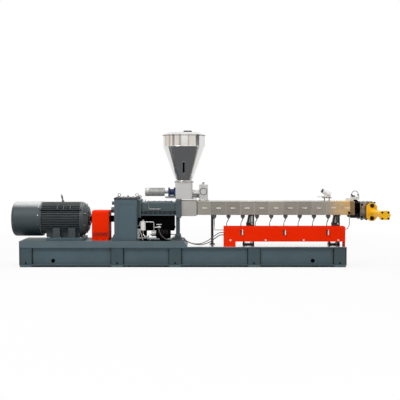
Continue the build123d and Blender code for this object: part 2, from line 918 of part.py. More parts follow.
def gearbox_cover():
    """Bolted top cover."""
    cover = block(gear_left - gear_cover_overhang, gear_right + gear_cover_overhang,
                  -gear_half_depth - gear_cover_overhang, gear_half_depth + gear_cover_overhang,
                  gear_top, gear_cover_top)
    return fillet(cover.edges().filter_by(Axis.Z), gear_edge_round)


def gearbox_caps():
    """Two flanged shaft caps, one above the other, and the input bearing cap on the motor side."""
    caps = []
    for height, radius, length in ((screw_axis_height + upper_cap_rise, upper_cap_radius, upper_cap_length),
                                   (screw_axis_height - lower_cap_drop, lower_cap_radius,
                                    lower_cap_length)):
        cap = bar_x(gear_left - length, gear_left, 0, height, radius - cap_flange_grow)
        caps.append(cap + bar_x(gear_left - cap_flange_length, gear_left, 0, height, radius))
    intake = bar_x(gear_left - input_cap_length, gear_left, 0, motor_axis_height, input_cap_radius)
    intake -= bar_x(gear_left - 2 * input_cap_length, gear_left + overrun, 0, motor_axis_height,
                    shaft_radius + shaft_clearance)
    return made_of(caps + [intake])


def gearbox_fittings():
    """Two lifting eyes and a breather on the cover."""
    pieces = []
    for share in lifting_eye_shares:
        place = gear_left + share * gear_length
        centre = gear_cover_top + lifting_eye_shank + lifting_eye_ring_radius
        eye = bar_z(place, 0, gear_cover_top, gear_cover_top + lifting_eye_shank, lifting_eye_shank_radius)
        ring = Pos(place, 0, centre) * Rot(90, 0, 0) * Torus(lifting_eye_ring_radius,
                                                             lifting_eye_bar_radius)
        pieces.append(eye + ring)
    breather_place = gear_left + breather_share * gear_length
    stem = bar_z(breather_place, 0, gear_cover_top, gear_cover_top + breather_height, breather_radius / 2)
    stem += bar_z(breather_place, 0, gear_cover_top + breather_height / 2, gear_cover_top + breather_height,
                  breather_radius)
    pieces.append(stem)
    return made_of(pieces)


def distribution_housing():
    """Ribbed casting that splits the drive to the two screws."""
    def flange(x0, x1):
        plate = block(x0, x1, -joint_flange_half_depth, joint_flange_half_depth,
                      screw_axis_height - joint_flange_half_height,
                      screw_axis_height + joint_flange_half_height)
        return fillet(plate.edges().filter_by(Axis.X), casing_round)

    ledge_top = screw_axis_height - ledge_plate_drop
    ledge_low = ledge_top - ledge_plate_thickness
    foot_top = casing_foot + casing_foot_thickness
    lip, waist = casing_half_depth + casing_lip, casing_half_depth - casing_waist
    upper = block(casing_left, casing_right, -casing_half_depth, casing_half_depth, ledge_low,
                  casing_top)
    upper = fillet(upper.edges().filter_by(Axis.X).group_by(Axis.Z)[-1], casing_round)
    body = upper + [
        flange(gear_right, casing_left), flange(casing_right, feed_left),
        block(casing_left, casing_right, -lip, lip, ledge_low, ledge_top),
        block(casing_left, casing_right, -waist, waist, foot_top, ledge_low),
        block(casing_left, casing_right, -lip, lip, casing_foot, foot_top)]
    ribs = []
    for share in rib_place_shares:
        x = casing_left + share * casing_length
        ribs.append(block(x - rib_thickness / 2, x + rib_thickness / 2, -casing_half_depth,
                          casing_half_depth,
                          casing_foot, ledge_low))
    ribs.append(block(casing_left + casing_cover_left_inset, casing_right - casing_cover_right_inset,
                      -casing_cover_half_depth, casing_cover_half_depth, casing_top,
                      casing_top + casing_cover_thickness))
    return body + ribs


def gearbox_oil_pipe():
    """Oil pipe on the front of the distribution gearbox."""
    row = -casing_half_depth - oil_pipe_standoff
    left = casing_left + oil_pipe_left_inset
    right = left + oil_pipe_length
    top, low = casing_top + oil_pipe_hump, screw_axis_height - oil_pipe_drop
    landing = -casing_half_depth + casing_round + oil_pipe_radius
    route = [(left, landing, casing_top), (left, landing, top), (left, row, top), (left, row, low),
             (right, row, low),
             (right, -casing_half_depth, low)]
    return bent_tube(route, oil_pipe_bend, oil_pipe_radius)


def gearbox_pedestal():
    """Column that carries the free end of the distribution gearbox."""
    head = screw_axis_height - joint_flange_half_height
    foot_top = deck_top + pedestal_foot_thickness
    half, grow = pedestal_width / 2, pedestal_base_grow
    left, right = pedestal_place - half, pedestal_place + half
    column = block(left, right, -pedestal_half_depth, pedestal_half_depth, foot_top, head)
    foot = block(pedestal_foot_left, pedestal_place + pedestal_foot_right_reach, -pedestal_foot_half_depth,
                 pedestal_foot_half_depth, deck_top, foot_top)
    skirt_depth = pedestal_half_depth + grow
    skirt = block(left - grow, right + grow, -skirt_depth, skirt_depth, foot_top,
                  foot_top + pedestal_base_height)
    skirt = chamfer(skirt.edges().group_by(Axis.Z)[-1], grow - seat_gap)
    return column + [foot, skirt]


def oil_sump():
    """Black oil sump hung under the distribution gearbox."""
    right = casing_right - sump_right_inset
    box = block(casing_left + sump_left_inset, right, -sump_front_reach, sump_rear_reach, sump_bottom,
                casing_foot)
    box = fillet(box.edges().filter_by(Axis.Y).group_by(Axis.Z)[0], sump_round)
    return box + bar_x(right, right + plug_length, -sump_front_reach / 2, sump_bottom + plug_rise,
                       plug_radius)


def lube_stand():
    """Base plate of the lubrication set, with a filter back plate and a saddle for the pump motor."""
    base = block(gear_right + stand_inset, pedestal_foot_left - stand_clearance,
                 lube_row - stand_half_depth,
                 lube_row + stand_half_depth, deck_top, stand_top)
    back = block(filter_place - stand_back_half, filter_place + stand_back_half,
                 lube_row + stand_back_offset,
                 lube_row + stand_back_offset + stand_back_thickness, stand_top,
                 filter_top + filter_head_height)
    left = pump_motor_left + pump_foot_inset
    saddle = block(left, left + pump_foot_length, lube_row - pump_foot_half_depth,
                   lube_row + pump_foot_half_depth,
                   stand_top, pump_axis_height - pump_motor_radius / 2)
    saddle -= bar_x(left - overrun, left + pump_foot_length + overrun, lube_row, pump_axis_height,
                    pump_motor_radius)
    return base + [back, saddle]


def oil_filter():
    """Filter bowl under its head, held to the back plate by an arm."""
    bowl = bar_z(filter_place, lube_row, filter_bottom, filter_top, filter_radius)
    bowl = fillet(bowl.edges().group_by(Axis.Z)[0], filter_round)
    head = bar_z(filter_place, lube_row, filter_top, filter_top + filter_head_height, filter_head_radius)
    arm = block(filter_place - filter_arm / 2, filter_place + filter_arm / 2, lube_row,
                lube_row + stand_back_offset, filter_top, filter_top + filter_head_height)
    return bowl + [head, arm]


def lube_pump():
    """Gear pump on the end of its motor."""
    return bar_x(pump_left, pump_motor_left, lube_row, pump_axis_height, pump_radius)


def lube_pump_motor():
    """Small pump motor with a rounded fan end and its cable gland."""
    motor = bar_x(pump_motor_left, pump_motor_right, lube_row, pump_axis_height, pump_motor_radius)
    motor = fillet(motor.edges().group_by(Axis.X)[-1], pump_motor_round)
    gland_height = pump_axis_height - pump_gland_drop
    return motor + bar_x(pump_motor_left, pump_motor_right + pump_gland_length, lube_row, gland_height,
                         pump_gland_radius)


def lube_pipes():
    """Pipes from gearbox to filter and from filter to pump, and the valve above the pump motor."""
    level = filter_top + filter_head_height / 2
    stub = gear_right + lube_pipe_bend + lube_pipe_radius
    intake = bent_tube([(gear_right, lube_row, gear_port_height), (stub, lube_row, gear_port_height),
                        (stub, lube_row, level), (filter_place - filter_head_radius, lube_row, level)],
                       lube_pipe_bend, lube_pipe_radius)
    middle = (pump_left + pump_motor_left) / 2
    outtake = bent_tube([(filter_place + filter_head_radius, lube_row, level), (middle, lube_row, level),
                         (middle, lube_row, pump_axis_height + pump_radius)], lube_pipe_bend,
                         lube_pipe_radius)
    valve = bar_x(valve_place - valve_body_length / 2, valve_place + valve_body_length / 2, lube_row,
                  valve_height,
                  valve_body_radius)
    top = valve_height + valve_body_radius + valve_stem_height
    valve += bar_z(valve_place, lube_row, valve_height, top, valve_stem_radius)
    valve += bar_x(valve_place - valve_bar_length / 2, valve_place + valve_bar_length / 2, lube_row, top,
                   valve_bar_radius)
    valve += bar_y(valve_place, lube_row - valve_spout_length, lube_row, valve_height, valve_spout_radius)
    outtake += bar_x(middle, valve_place, lube_row, valve_height, lube_pipe_radius)
    return made_of([intake, outtake + valve])


def feed_barrel():
    """Cooled feed block below the feeder."""
    block_body = block(feed_left, feed_right, -feed_half_depth, feed_half_depth,
                       screw_axis_height - feed_drop, feed_top)
    return chamfer(block_body.edges().filter_by(Axis.X), feed_edge)


def barrel_core():
    """The barrel itself, which shows only at the joints between the covers."""
    core = block(feed_right, barrel_right, -core_half, core_half, screw_axis_height - core_half,
                 screw_axis_height + core_half)
    return core + block(feed_right, barrel_left, -core_neck_half, core_neck_half,
                        screw_axis_height - core_neck_half,
                        screw_axis_height + core_neck_half)


def barrel_covers():
    """One heater cover for each barrel section, with a lipped slot front and rear."""
    covers = []
    for number in range(section_count):
        left = barrel_left + number * section_length
        right = left + section_length - cover_gap
        cover = block(left, right, -cover_half_depth, cover_half_depth, cover_bottom, cover_top)
        cover = chamfer(cover.edges().filter_by(Axis.X), cover_edge)
        cover -= block(left - overrun, right + overrun, -core_half, core_half,
                       screw_axis_height - core_half,
                       screw_axis_height + core_half)
        centre = (left + right) / 2
        for sign in sides():
            cover -= block(centre - slot_length / 2, centre + slot_length / 2,
                           *across(sign, cover_half_depth - slot_depth, cover_half_depth + overrun),
                           screw_axis_height - slot_height / 2, screw_axis_height + slot_height / 2)
            cover += block(centre - slot_length / 2, centre + slot_length / 2,
                           *across(sign, cover_half_depth - slot_depth, cover_half_depth + lip_reach),
                           screw_axis_height + slot_height / 2,
                           screw_axis_height + slot_height / 2 + lip_thickness)
        covers.append(cover)
    return made_of(covers)


def drain_block_places():
    """X of each cooling block, one near every joint but the first and last."""
    first = barrel_left + drain_block_offset
    return [first + number * section_length for number in range(1, section_count - 1)]


def barrel_drain_blocks():
    """Cooling outlet blocks below the covers."""
    blocks = []
    for place in drain_block_places():
        body = block(place - drain_block_length / 2, place + drain_block_length / 2,
                     drain_block_row - drain_block_depth / 2, drain_block_row + drain_block_depth / 2,
                     cover_bottom - drain_block_height, cover_bottom)
        blocks.append(chamfer(body.edges().group_by(Axis.Z)[0], drain_block_edge))
    return made_of(blocks)


def cooling_tubes():
    """Tubes from the cooling blocks into the trough; the first one enters its left end."""
    tubes = []
    start = cover_bottom - drain_block_height
    row = (trough_front + trough_rear) / 2
    landing = (drain_block_row + row) / 2
    bend = (start - trough_top) / 4
    middle = (start + trough_top) / 2
    entry = handle_height + bend
    for number, place in enumerate(drain_block_places()):
        if number == 0:
            route = [(place, drain_block_row, start), (place, drain_block_row, middle), (place, row, entry),
                     (trough_left, row, entry)]
        else:
            route = [(place, drain_block_row, start), (place, drain_block_row, middle + bend),
                     (place - bend, landing, middle - bend / 2), (place - bend, landing, trough_top)]
        tubes.append(bent_tube(route, bend / 2, drain_tube_radius))
    return made_of(tubes)


def barrel_stands():
    """Two cast stands and a slim post that carry the barrel."""
    pieces = []
    for share in stand_place_shares:
        place = barrel_left + share * barrel_length
        foot_top = barrel_deck_top + stand_foot_height
        head_low = cover_bottom - stand_head_height
        left, right = place - stand_foot_length / 2, place + stand_foot_length / 2
        head_left = right - stand_head_length
        foot = block(left, right, -stand_foot_half_depth, stand_foot_half_depth, barrel_deck_top, foot_top)
        head = block(head_left, right, -stand_head_half_depth, stand_head_half_depth, head_low,
                     cover_bottom)
        slanted = side_profile([(left, foot_top), (left + stand_leg_width, foot_top),
                                (head_left + stand_leg_width, head_low), (head_left, head_low)],
                               -stand_leg_half_depth, stand_leg_half_depth)
        upright = block(right - stand_leg_width, right, -stand_leg_half_depth, stand_leg_half_depth,
                        foot_top, head_low)
        rib_place = (head_left + right) / 2
        rib = block(rib_place - stand_rib_width / 2, rib_place + stand_rib_width / 2,
                    -stand_leg_half_depth, stand_leg_half_depth, foot_top, head_low)
        pieces.append(foot + [head, slanted, upright, rib])
    post_place = barrel_left + post_place_share * barrel_length
    post = bar_z(post_place, post_row, barrel_deck_top, cover_bottom, post_radius)
    post += bar_z(post_place, post_row, barrel_deck_top, barrel_deck_top + post_foot_height,
                  post_foot_radius)
    pieces.append(post)
    return made_of(pieces)


def pipe_trough():
    """Long red box that covers the cooling pipes."""
    box = block(trough_left, trough_right, trough_front, trough_rear, trough_bottom, trough_top)
    return fillet(box.edges().filter_by(Axis.X).group_by(Axis.Z)[-1], trough_round)


def trough_legs():
    """Front apron at the left and end plates that stand on the deck."""
    wall, rear = trough_leg_thickness, trough_rear - trough_leg_inset
    apron = block(trough_left, trough_left + trough_leg_width, trough_front, trough_front + wall,
                  barrel_deck_top,
                  trough_bottom)
    left_end = block(trough_left, trough_left + wall, trough_front + wall, rear, barrel_deck_top,
                     trough_bottom)
    right_end = block(trough_right - wall, trough_right, trough_front + trough_round, rear, barrel_deck_top,
                      trough_bottom)
    return made_of([apron + left_end, right_end])


def trough_handles():
    """Upright bow handles on the front of the trough."""
    handles = []
    for share in handle_place_shares:
        place = trough_left + share * trough_length
        reach = trough_front - handle_reach
        low, high = handle_height - handle_half_length, handle_height + handle_half_length
        handles.append(bent_tube([(place, trough_front, low), (place, reach, low), (place, reach, high),
                                  (place, trough_front, high)], 2 * handle_radius, handle_radius))
    return made_of(handles)


def feeder_base():
    """Plate that carries the feeder on the feed barrel."""
    return block(feed_left + feeder_base_inset, feed_right, -feeder_base_half_depth, feeder_base_half_depth,
                 feed_top, feeder_base_top)


def feeder_body():
    """Feeder housing with a round top flange."""
    body = block(feeder_place - feeder_half, feeder_place + feeder_half, -feeder_half, feeder_half,
                 feeder_base_top,
                 feeder_top)
    body = fillet(body.edges().filter_by(Axis.Z), feeder_round)
    return body + bar_z(feeder_place, 0, feeder_top, hopper_base, feeder_flange_radius)


def feeder_gear_unit():
    """Blue reducer with a square flange at each end and a foot."""
    left, right = gear_unit_left, gear_unit_left + gear_unit_length
    half = gear_unit_flange_half
    body = bar_x(left, right, 0, drive_axis_height, gear_unit_radius)
    flanges = []
    for x0 in (left, right - gear_unit_flange):
        plate = block(x0, x0 + gear_unit_flange, -half, half, drive_axis_height - half,
                      drive_axis_height + half)
        flanges.append(chamfer(plate.edges().filter_by(Axis.X), gear_unit_edge))
    foot = block(left, right, -half + gear_unit_edge, half - gear_unit_edge, drive_axis_height - half,
                 drive_axis_height - half + gear_unit_foot_height)
    return body + flanges + [foot]


def feeder_motor():
    """Small finned motor and its coupling housing on the reducer."""
    right = gear_unit_left - feeder_coupling_length
    left = right - feeder_motor_length
    neck = bar_x(right, gear_unit_left, 0, drive_axis_height, feeder_coupling_radius)
    body = bar_x(left, right, 0, drive_axis_height, feeder_motor_radius)
    cap = bar_x(left, left + feeder_motor_cap, 0, drive_axis_height, feeder_motor_radius + feeder_motor_fin)
    cap = fillet(cap.edges().group_by(Axis.X)[0], feeder_motor_round)
    fins = []
    for number in range(feeder_motor_fin_count):
        fin = Pos((left + feeder_motor_cap + right) / 2, 0, feeder_motor_radius)
        fin *= Box(right - left - feeder_motor_cap, feeder_motor_fin_thickness, 2 * feeder_motor_fin)
        fins.append(Pos(0, 0, drive_axis_height) * Rot(number * 360 / feeder_motor_fin_count, 0, 0) * fin)
    return body + [neck, cap] + fins


def feeder_bracket():
    """Welded bracket that holds the reducer beside the feeder."""
    left, right = gear_unit_left - bracket_reach, gear_unit_left + gear_unit_length
    shelf_low = bracket_top - bracket_wall
    shelf = block(left, right, -bracket_half_depth, bracket_half_depth, shelf_low, bracket_top)
    cheeks = [block(left + bracket_wall, right,
                    *across(sign, bracket_half_depth - bracket_wall, bracket_half_depth),
                    bracket_bottom, shelf_low) for sign in sides()]
    return shelf + cheeks


def feeder_outlet():
    """Horizontal outlet tube between the feeder and the outlet box."""
    left, right = feeder_place + feeder_half, box_left
    tube = bar_x(left, right, 0, outlet_axis_height, outlet_radius)
    rings = [bar_x(x0, x0 + outlet_flange_length, 0, outlet_axis_height, outlet_flange_radius)
             for x0 in (left, right - outlet_flange_length)]
    return tube + rings


def feeder_outlet_box():
    """Outlet box on the first heated section, with a round port and a knob."""
    body = block(box_left, box_right, -box_half_depth, box_half_depth, cover_top, box_top)
    body = fillet(body.edges().filter_by(Axis.Z), box_round)
    base = block(box_left - box_base_grow, box_right + box_base_grow, -box_half_depth - box_base_grow,
                 box_half_depth + box_base_grow, cover_top, cover_top + box_base_height)
    centre = (box_left + box_right) / 2
    port = bar_y(centre, -box_half_depth - box_port_depth, -box_half_depth, box_port_height,
                 box_port_radius)
    knob = bar_z(centre - knob_radius / 2, 0, box_top, box_top + knob_height, knob_radius)
    return body + [base, port, knob]


def hopper():
    """Spun steel hopper, open at the top and at the neck."""
    outer, neck, wall = hopper_radius, hopper_neck_radius, hopper_wall
    flange_top = hopper_base + hopper_flange_thickness
    outline = [(neck, hopper_base), (feeder_flange_radius, hopper_base), (feeder_flange_radius, flange_top),
               (neck + wall, flange_top), (neck + wall, hopper_neck_height),
               (outer, hopper_shoulder_height),
               (outer, hopper_rim_height), (outer - wall, hopper_rim_height),
               (outer - wall, hopper_shoulder_height),
               (neck, hopper_neck_height)]
    return turned_z(outline, feeder_place, 0)


def hopper_cone_radius(height):
    """Outer radius of the hopper cone at a height."""
    share = (height - hopper_neck_height) / (hopper_shoulder_height - hopper_neck_height)
    low = hopper_neck_radius + hopper_wall
    return low + share * (hopper_radius - low)


def hopper_sight_glass():
    """Level window strip on the front of the cone."""
    low, high = hopper_cone_radius(sight_bottom), hopper_cone_radius(sight_top)
    tilt = degrees(atan2(high - low, sight_top - sight_bottom))
    length = sqrt((high - low) ** 2 + (sight_top - sight_bottom) ** 2)
    strip = extrude(SlotOverall(length, sight_width, rotation=90), amount=sight_thickness)
    front = Plane(origin=(feeder_place, -(low + high) / 2, (sight_bottom + sight_top) / 2),
                  x_dir=(1, 0, 0), z_dir=(0, -cos(radians(tilt)), -sin(radians(tilt))))
    strip = front * Pos(0, 0, -sight_thickness / 2) * strip
    cone = turned_z([(0, hopper_neck_height), (hopper_neck_radius + hopper_wall, hopper_neck_height),
                     (hopper_radius, hopper_shoulder_height), (0, hopper_shoulder_height)], feeder_place, 0)
    return strip - cone


def hopper_lid():
    """Lift-off lid with a sloped edge and a skirt outside the rim."""
    inner = hopper_radius + lid_gap
    outer = inner + lid_wall
    outline = [(0, lid_top), (lid_crown_radius, lid_top), (outer, lid_seat_height + lid_wall),
               (outer, hopper_rim_height - lid_skirt), (inner, hopper_rim_height - lid_skirt),
               (inner, lid_seat_height), (hopper_radius - lid_seat, lid_seat_height),
               (lid_crown_radius, lid_top - lid_wall), (0, lid_top - lid_wall)]
    return turned_z(outline, feeder_place, 0)


def hopper_lid_handle():
    """Black bow handle on the lid."""
    centre = feeder_place + lid_handle_place
    x0 = centre - lid_handle_length / 2 + lid_handle_radius
    x1 = centre + lid_handle_length / 2 - lid_handle_radius
    rise = lid_top + lid_handle_rise - lid_handle_radius
    return bent_tube([(x0, 0, lid_top), (x0, 0, rise), (x1, 0, rise), (x1, 0, lid_top)], lid_handle_bend,
                     lid_handle_radius)


def vent_port():
    """Vent plate on two legs over the barrel, with its neck."""
    plate_low = cover_top + vent_leg_height
    plate = block(vent_place - vent_base_length / 2, vent_place + vent_base_length / 2,
                  -vent_base_half_depth,
                  vent_base_half_depth, plate_low, plate_low + vent_base_thickness)
    legs = [bar_z(vent_place + sign * vent_leg_half, 0, cover_top, plate_low,
                  vent_leg_radius) for sign in sides()]
    return plate + legs


def vent_dome():
    """Tilted vent chamber with a capped end and a side nozzle."""
    low = cover_top + vent_leg_height + vent_base_thickness
    tilt = radians(vent_tilt)
    rise = low + vent_dome_radius * cos(tilt) + vent_dome_length / 2 * sin(tilt)
    chamber = Cylinder(vent_dome_radius, vent_dome_length)
    chamber += Pos(0, 0, vent_dome_length / 2 + vent_cap_length / 2) * Cylinder(vent_cap_radius,
                                                                                vent_cap_length)
    chamber = Pos(vent_place, 0, rise) * Rot(0, vent_tilt - 90, 0) * chamber
    seat = block(vent_place - vent_neck_radius, vent_place + vent_neck_radius, -vent_dome_radius / 2,
                 vent_dome_radius / 2,
                 low, rise)
    nozzle_height = low + vent_nozzle_radius
    nozzle = bar_x(vent_place - vent_base_length / 2 - vent_nozzle_length, vent_place, 0, nozzle_height,
                   vent_nozzle_radius)
    return chamber + [seat, nozzle]


def die_adapter():
    """Dark adapter between the barrel and the screen changer."""
    right = barrel_right + adapter_length
    outline = [(barrel_right, 0), (barrel_right, adapter_radius), (right - adapter_edge, adapter_radius),
               (right, adapter_radius - adapter_edge), (right, 0)]
    return turned_x(outline, 0, screw_axis_height)


def screen_changer():
    """Screen changer block with slide rails, outlet bore and die bolt holes."""
    body = block(changer_left, changer_right, -changer_half_depth, changer_half_depth,
                 changer_height - changer_half_height, changer_height + changer_half_height)
    body = chamfer(body.edges().filter_by(Axis.Y), changer_edge)
    middle = (changer_left + changer_right) / 2
    rails = [block(middle - changer_rail_length / 2, middle + changer_rail_length / 2,
                   *across(sign, changer_half_depth, changer_half_depth + changer_rail_depth),
                   yoke_height - changer_rail_half_height, yoke_height + changer_rail_half_height)
             for sign in sides()]
    body += rails
    body -= bar_x(changer_right - outlet_bore_depth, changer_right + overrun, 0, screw_axis_height,
                  outlet_bore_radius)
    for number in range(die_bolt_count):
        angle = radians((number + 0.5) * 360 / die_bolt_count)
        body -= bar_x(changer_right - die_bolt_depth, changer_right + overrun,
                      die_bolt_circle / 2 * cos(angle),
                      screw_axis_height + die_bolt_circle / 2 * sin(angle), die_bolt_radius)
    return body


def changer_yoke():
    """Yellow eight-sided flange plate on two pillars in front of the changer."""
    outline = []
    for sx, sz in ((-1, -1), (1, -1), (1, 1), (-1, 1)):
        ends = [(sx * yoke_half_width, sz * (yoke_half_height - yoke_corner)),
                (sx * (yoke_half_width - yoke_corner), sz * yoke_half_height)]
        outline += ends if sx * sz > 0 else ends[::-1]
    points = [(yoke_place + x, yoke_height + z) for x, z in outline]
    plate = side_profile(points, yoke_front, yoke_back)
    pillars = [bar_y(yoke_place, yoke_back, -changer_half_depth, yoke_height + sign * yoke_pillar_rise,
                     yoke_pillar_radius) for sign in sides()]
    return plate + pillars


def hydraulic_cylinder():
    """Cylinder barrel with a collar on the yoke."""
    collar = bar_y(yoke_place, yoke_front - cylinder_collar_length, yoke_front, yoke_height,
                   cylinder_collar_radius)
    return collar + bar_y(yoke_place, yoke_front - cylinder_length, yoke_front, yoke_height,
                          cylinder_radius)


def cylinder_end_cap():
    """Square end cap of the cylinder, with an oil port."""
    back = yoke_front - cylinder_length
    cap = block(yoke_place - end_cap_half, yoke_place + end_cap_half, back - end_cap_length, back,
                yoke_height - end_cap_half, yoke_height + end_cap_half)
    cap = chamfer(cap.edges().filter_by(Axis.Y), end_cap_edge)
    right = yoke_place + end_cap_half
    return cap + bar_x(right, right + port_length, back - end_cap_length / 2, yoke_height, port_radius)


def terminal_block():
    """Heater terminal block on the outlet end with a plug and a socket, and a small junction block."""
    left, right = barrel_right - terminal_inset, barrel_right + terminal_shelf_reach
    half = terminal_half_depth
    bed = block(left, barrel_right - cover_gap, -half, half, cover_top, terminal_top)
    bed += block(left, right, -half, half, screw_axis_height + adapter_radius, terminal_top)
    plug_top = terminal_top + terminal_plug_height
    bed += block(left, left + terminal_plug_length, -half, 0, terminal_top, plug_top)
    bed += bar_z(barrel_right + terminal_socket_offset, terminal_socket_row, terminal_top, plug_top,
                 terminal_socket_radius)
    junction_left = barrel_right - junction_inset
    junction = block(junction_left, junction_left + junction_length, -junction_half_depth,
                     junction_half_depth,
                     cover_top, cover_top + junction_height)
    junction = chamfer(junction.edges().group_by(Axis.Z)[-1], junction_edge)
    return made_of([bed, junction])


def lead_plug():
    """Angled plug on the last cover, where the end lead leaves downward."""
    low = screw_axis_height - lead_plug_drop
    return block(lead_plug_place - lead_plug_half, lead_plug_place + lead_plug_half,
                 -cover_half_depth - lead_plug_depth,
                 -cover_half_depth, low, low + lead_plug_height)


nodes = {
    "base_rails": base_rails,
    "base_posts": base_posts,
    "base_side_plates": base_side_plates,
    "base_cross_beams": base_cross_beams,
    "base_feet": base_feet,
    "drive_deck": drive_deck,
    "barrel_deck": barrel_deck,
    "motor_sole_plate": motor_sole_plate,
    "motor_frame": motor_frame,
    "motor_end_shield": motor_end_shield,
    "motor_fan_cover": motor_fan_cover,
    "motor_fan": motor_fan,
    "drive_shaft": drive_shaft,
    "coupling_guard": coupling_guard,
    "gearbox_housing": gearbox_housing,
    "gearbox_cover": gearbox_cover,
    "gearbox_caps": gearbox_caps,
    "gearbox_fittings": gearbox_fittings,
    "distribution_housing": distribution_housing,
    "gearbox_oil_pipe": gearbox_oil_pipe,
    "gearbox_pedestal": gearbox_pedestal,
    "oil_sump": oil_sump,
    "lube_stand": lube_stand,
    "oil_filter": oil_filter,
    "lube_pump": lube_pump,
    "lube_pump_motor": lube_pump_motor,
    "lube_pipes": lube_pipes,
    "feed_barrel": feed_barrel,
    "barrel_core": barrel_core,
    "barrel_covers": barrel_covers,
    "barrel_drain_blocks": barrel_drain_blocks,
    "cooling_tubes": cooling_tubes,
    "barrel_stands": barrel_stands,
    "pipe_trough": pipe_trough,
    "trough_legs": trough_legs,
    "trough_handles": trough_handles,
    "feeder_base": feeder_base,
    "feeder_body": feeder_body,
    "feeder_gear_unit": feeder_gear_unit,
    "feeder_motor": feeder_motor,
    "feeder_bracket": feeder_bracket,
    "feeder_outlet": feeder_outlet,
    "feeder_outlet_box": feeder_outlet_box,
    "hopper": hopper,
    "hopper_sight_glass": hopper_sight_glass,
    "hopper_lid": hopper_lid,
    "hopper_lid_handle": hopper_lid_handle,
    "vent_port": vent_port,
    "vent_dome": vent_dome,
    "die_adapter": die_adapter,
    "screen_changer": screen_changer,
    "changer_yoke": changer_yoke,
    "hydraulic_cylinder": hydraulic_cylinder,
    "cylinder_end_cap": cylinder_end_cap,
    "terminal_block": terminal_block,
    "lead_plug": lead_plug,
    "pump_hose": lambda: cord_tube("pump_hose", pump_hose_route, pump_hose_diameter),
    "pump_cable": lambda: cord_tube("pump_cable", pump_cable_route, pump_cable_diameter),
    "end_lead": lambda: cord_tube("end_lead", end_lead_route, end_lead_diameter),
    "sensor_lead": lambda: cord_tube("sensor_lead", sensor_lead_route, sensor_lead_diameter),
}

os.makedirs("parts", exist_ok=True)
for node, make in nodes.items():
    export_step(make(), f"parts/{node}.step")
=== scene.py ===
# %% [markdown]
# # Twin-screw pelletizing machine
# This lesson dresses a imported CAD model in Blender. The machine stands on a welded base: motor, gearbox, feeder with
# its hopper, a barrel of heated sections, a red trough for the cooling pipes, and a screen changer with a yellow
# cylinder. The CAD pieces are already in place, in metres, so this script adds finishes, small hardware, hoses and
# the studio.

# %% Load the model
import math
import bmesh
import bpy
from mathutils import Matrix, Vector


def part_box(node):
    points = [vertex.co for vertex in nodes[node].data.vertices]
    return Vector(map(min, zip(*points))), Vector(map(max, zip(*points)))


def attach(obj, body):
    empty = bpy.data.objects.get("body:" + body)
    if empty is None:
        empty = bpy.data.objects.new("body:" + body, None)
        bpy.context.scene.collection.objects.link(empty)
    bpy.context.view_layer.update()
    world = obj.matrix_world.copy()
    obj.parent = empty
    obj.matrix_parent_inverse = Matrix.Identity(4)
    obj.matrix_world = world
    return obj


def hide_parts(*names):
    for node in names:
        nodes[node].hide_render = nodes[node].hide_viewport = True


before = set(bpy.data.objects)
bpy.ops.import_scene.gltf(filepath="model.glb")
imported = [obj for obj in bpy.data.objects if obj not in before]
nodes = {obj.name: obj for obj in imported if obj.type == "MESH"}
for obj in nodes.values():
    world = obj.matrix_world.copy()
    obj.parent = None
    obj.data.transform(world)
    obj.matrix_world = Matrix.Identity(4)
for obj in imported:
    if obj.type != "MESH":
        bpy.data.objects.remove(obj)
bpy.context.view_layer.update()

# %% [markdown]
# ## Camera
# The photograph was taken from far away with a long lens, a little above the hopper's neck. The lens length follows
# from the focal length in pixels, and a small tilt puts the horizon on its row of the picture. A tilt is chosen over
# a lens shift, because other views keep a shift.

# %% Camera
PICTURE_PIXELS = 400
FOCAL_PIXELS = 795
HORIZON_ROW = 165
SENSOR_MM = 36.0
EYE = Vector((0.2948, -14.0, 1.76))

camera_data = bpy.data.cameras.new("photo_camera")
camera_data.sensor_width = SENSOR_MM
camera_data.lens = SENSOR_MM * FOCAL_PIXELS / PICTURE_PIXELS
camera = bpy.data.objects.new("photo_camera", camera_data)
camera.location = EYE
tilt = math.atan((PICTURE_PIXELS / 2 - HORIZON_ROW) / FOCAL_PIXELS)
camera.rotation_euler = (math.pi / 2 - tilt, 0, 0)
bpy.context.scene.collection.objects.link(camera)
bpy.context.scene.camera = camera
bpy.context.scene.view_settings.view_transform = "Standard"
print("lens", round(camera_data.lens, 2), "tilt", round(math.degrees(tilt), 2))

# %% [markdown]
# ## Node helpers
# Every finish is made from shader nodes. A few helpers keep the cells short: they add a node and set its inputs,
# start a material with its Principled shader, build and place a node group, and blend values, colours and bumps.


# %% Node helpers
def add(tree, kind, **values):
    """A new node; values set its properties or, by name, its inputs."""
    node = tree.nodes.new(kind)
    for name, value in values.items():
        socket = name.replace("_", " ").title()
        if hasattr(node, name):
            setattr(node, name, value)
        else:
            node.inputs[socket].default_value = value
    return node


def start_material(name, roughness, metallic=0.0):
    """A material with an empty Principled shader, ready for its colour and bump."""
    material = bpy.data.materials.new(name)
    material.use_nodes = True
    shader = material.node_tree.nodes["Principled BSDF"]
    shader.inputs["Roughness"].default_value = roughness
    shader.inputs["Metallic"].default_value = metallic
    return material, material.node_tree, shader


def group_tree(name, inputs, outputs):
    """A shader node group with named number inputs, and outputs that are numbers."""
    tree = bpy.data.node_groups.new(name, "ShaderNodeTree")
    for label, value in inputs:
        socket = tree.interface.new_socket(label, in_out="INPUT", socket_type="NodeSocketFloat")
        socket.default_value = value
    for label in outputs:
        tree.interface.new_socket(label, in_out="OUTPUT", socket_type="NodeSocketFloat")
    return tree, tree.nodes.new("NodeGroupInput"), tree.nodes.new("NodeGroupOutput")


def place_group(tree, group, **values):
    """Puts a shader node group in a material and sets its inputs."""
    node = tree.nodes.new("ShaderNodeGroup")
    node.node_tree = group
    for name, value in values.items():
        node.inputs[name.replace("_", " ").title()].default_value = value
    return node


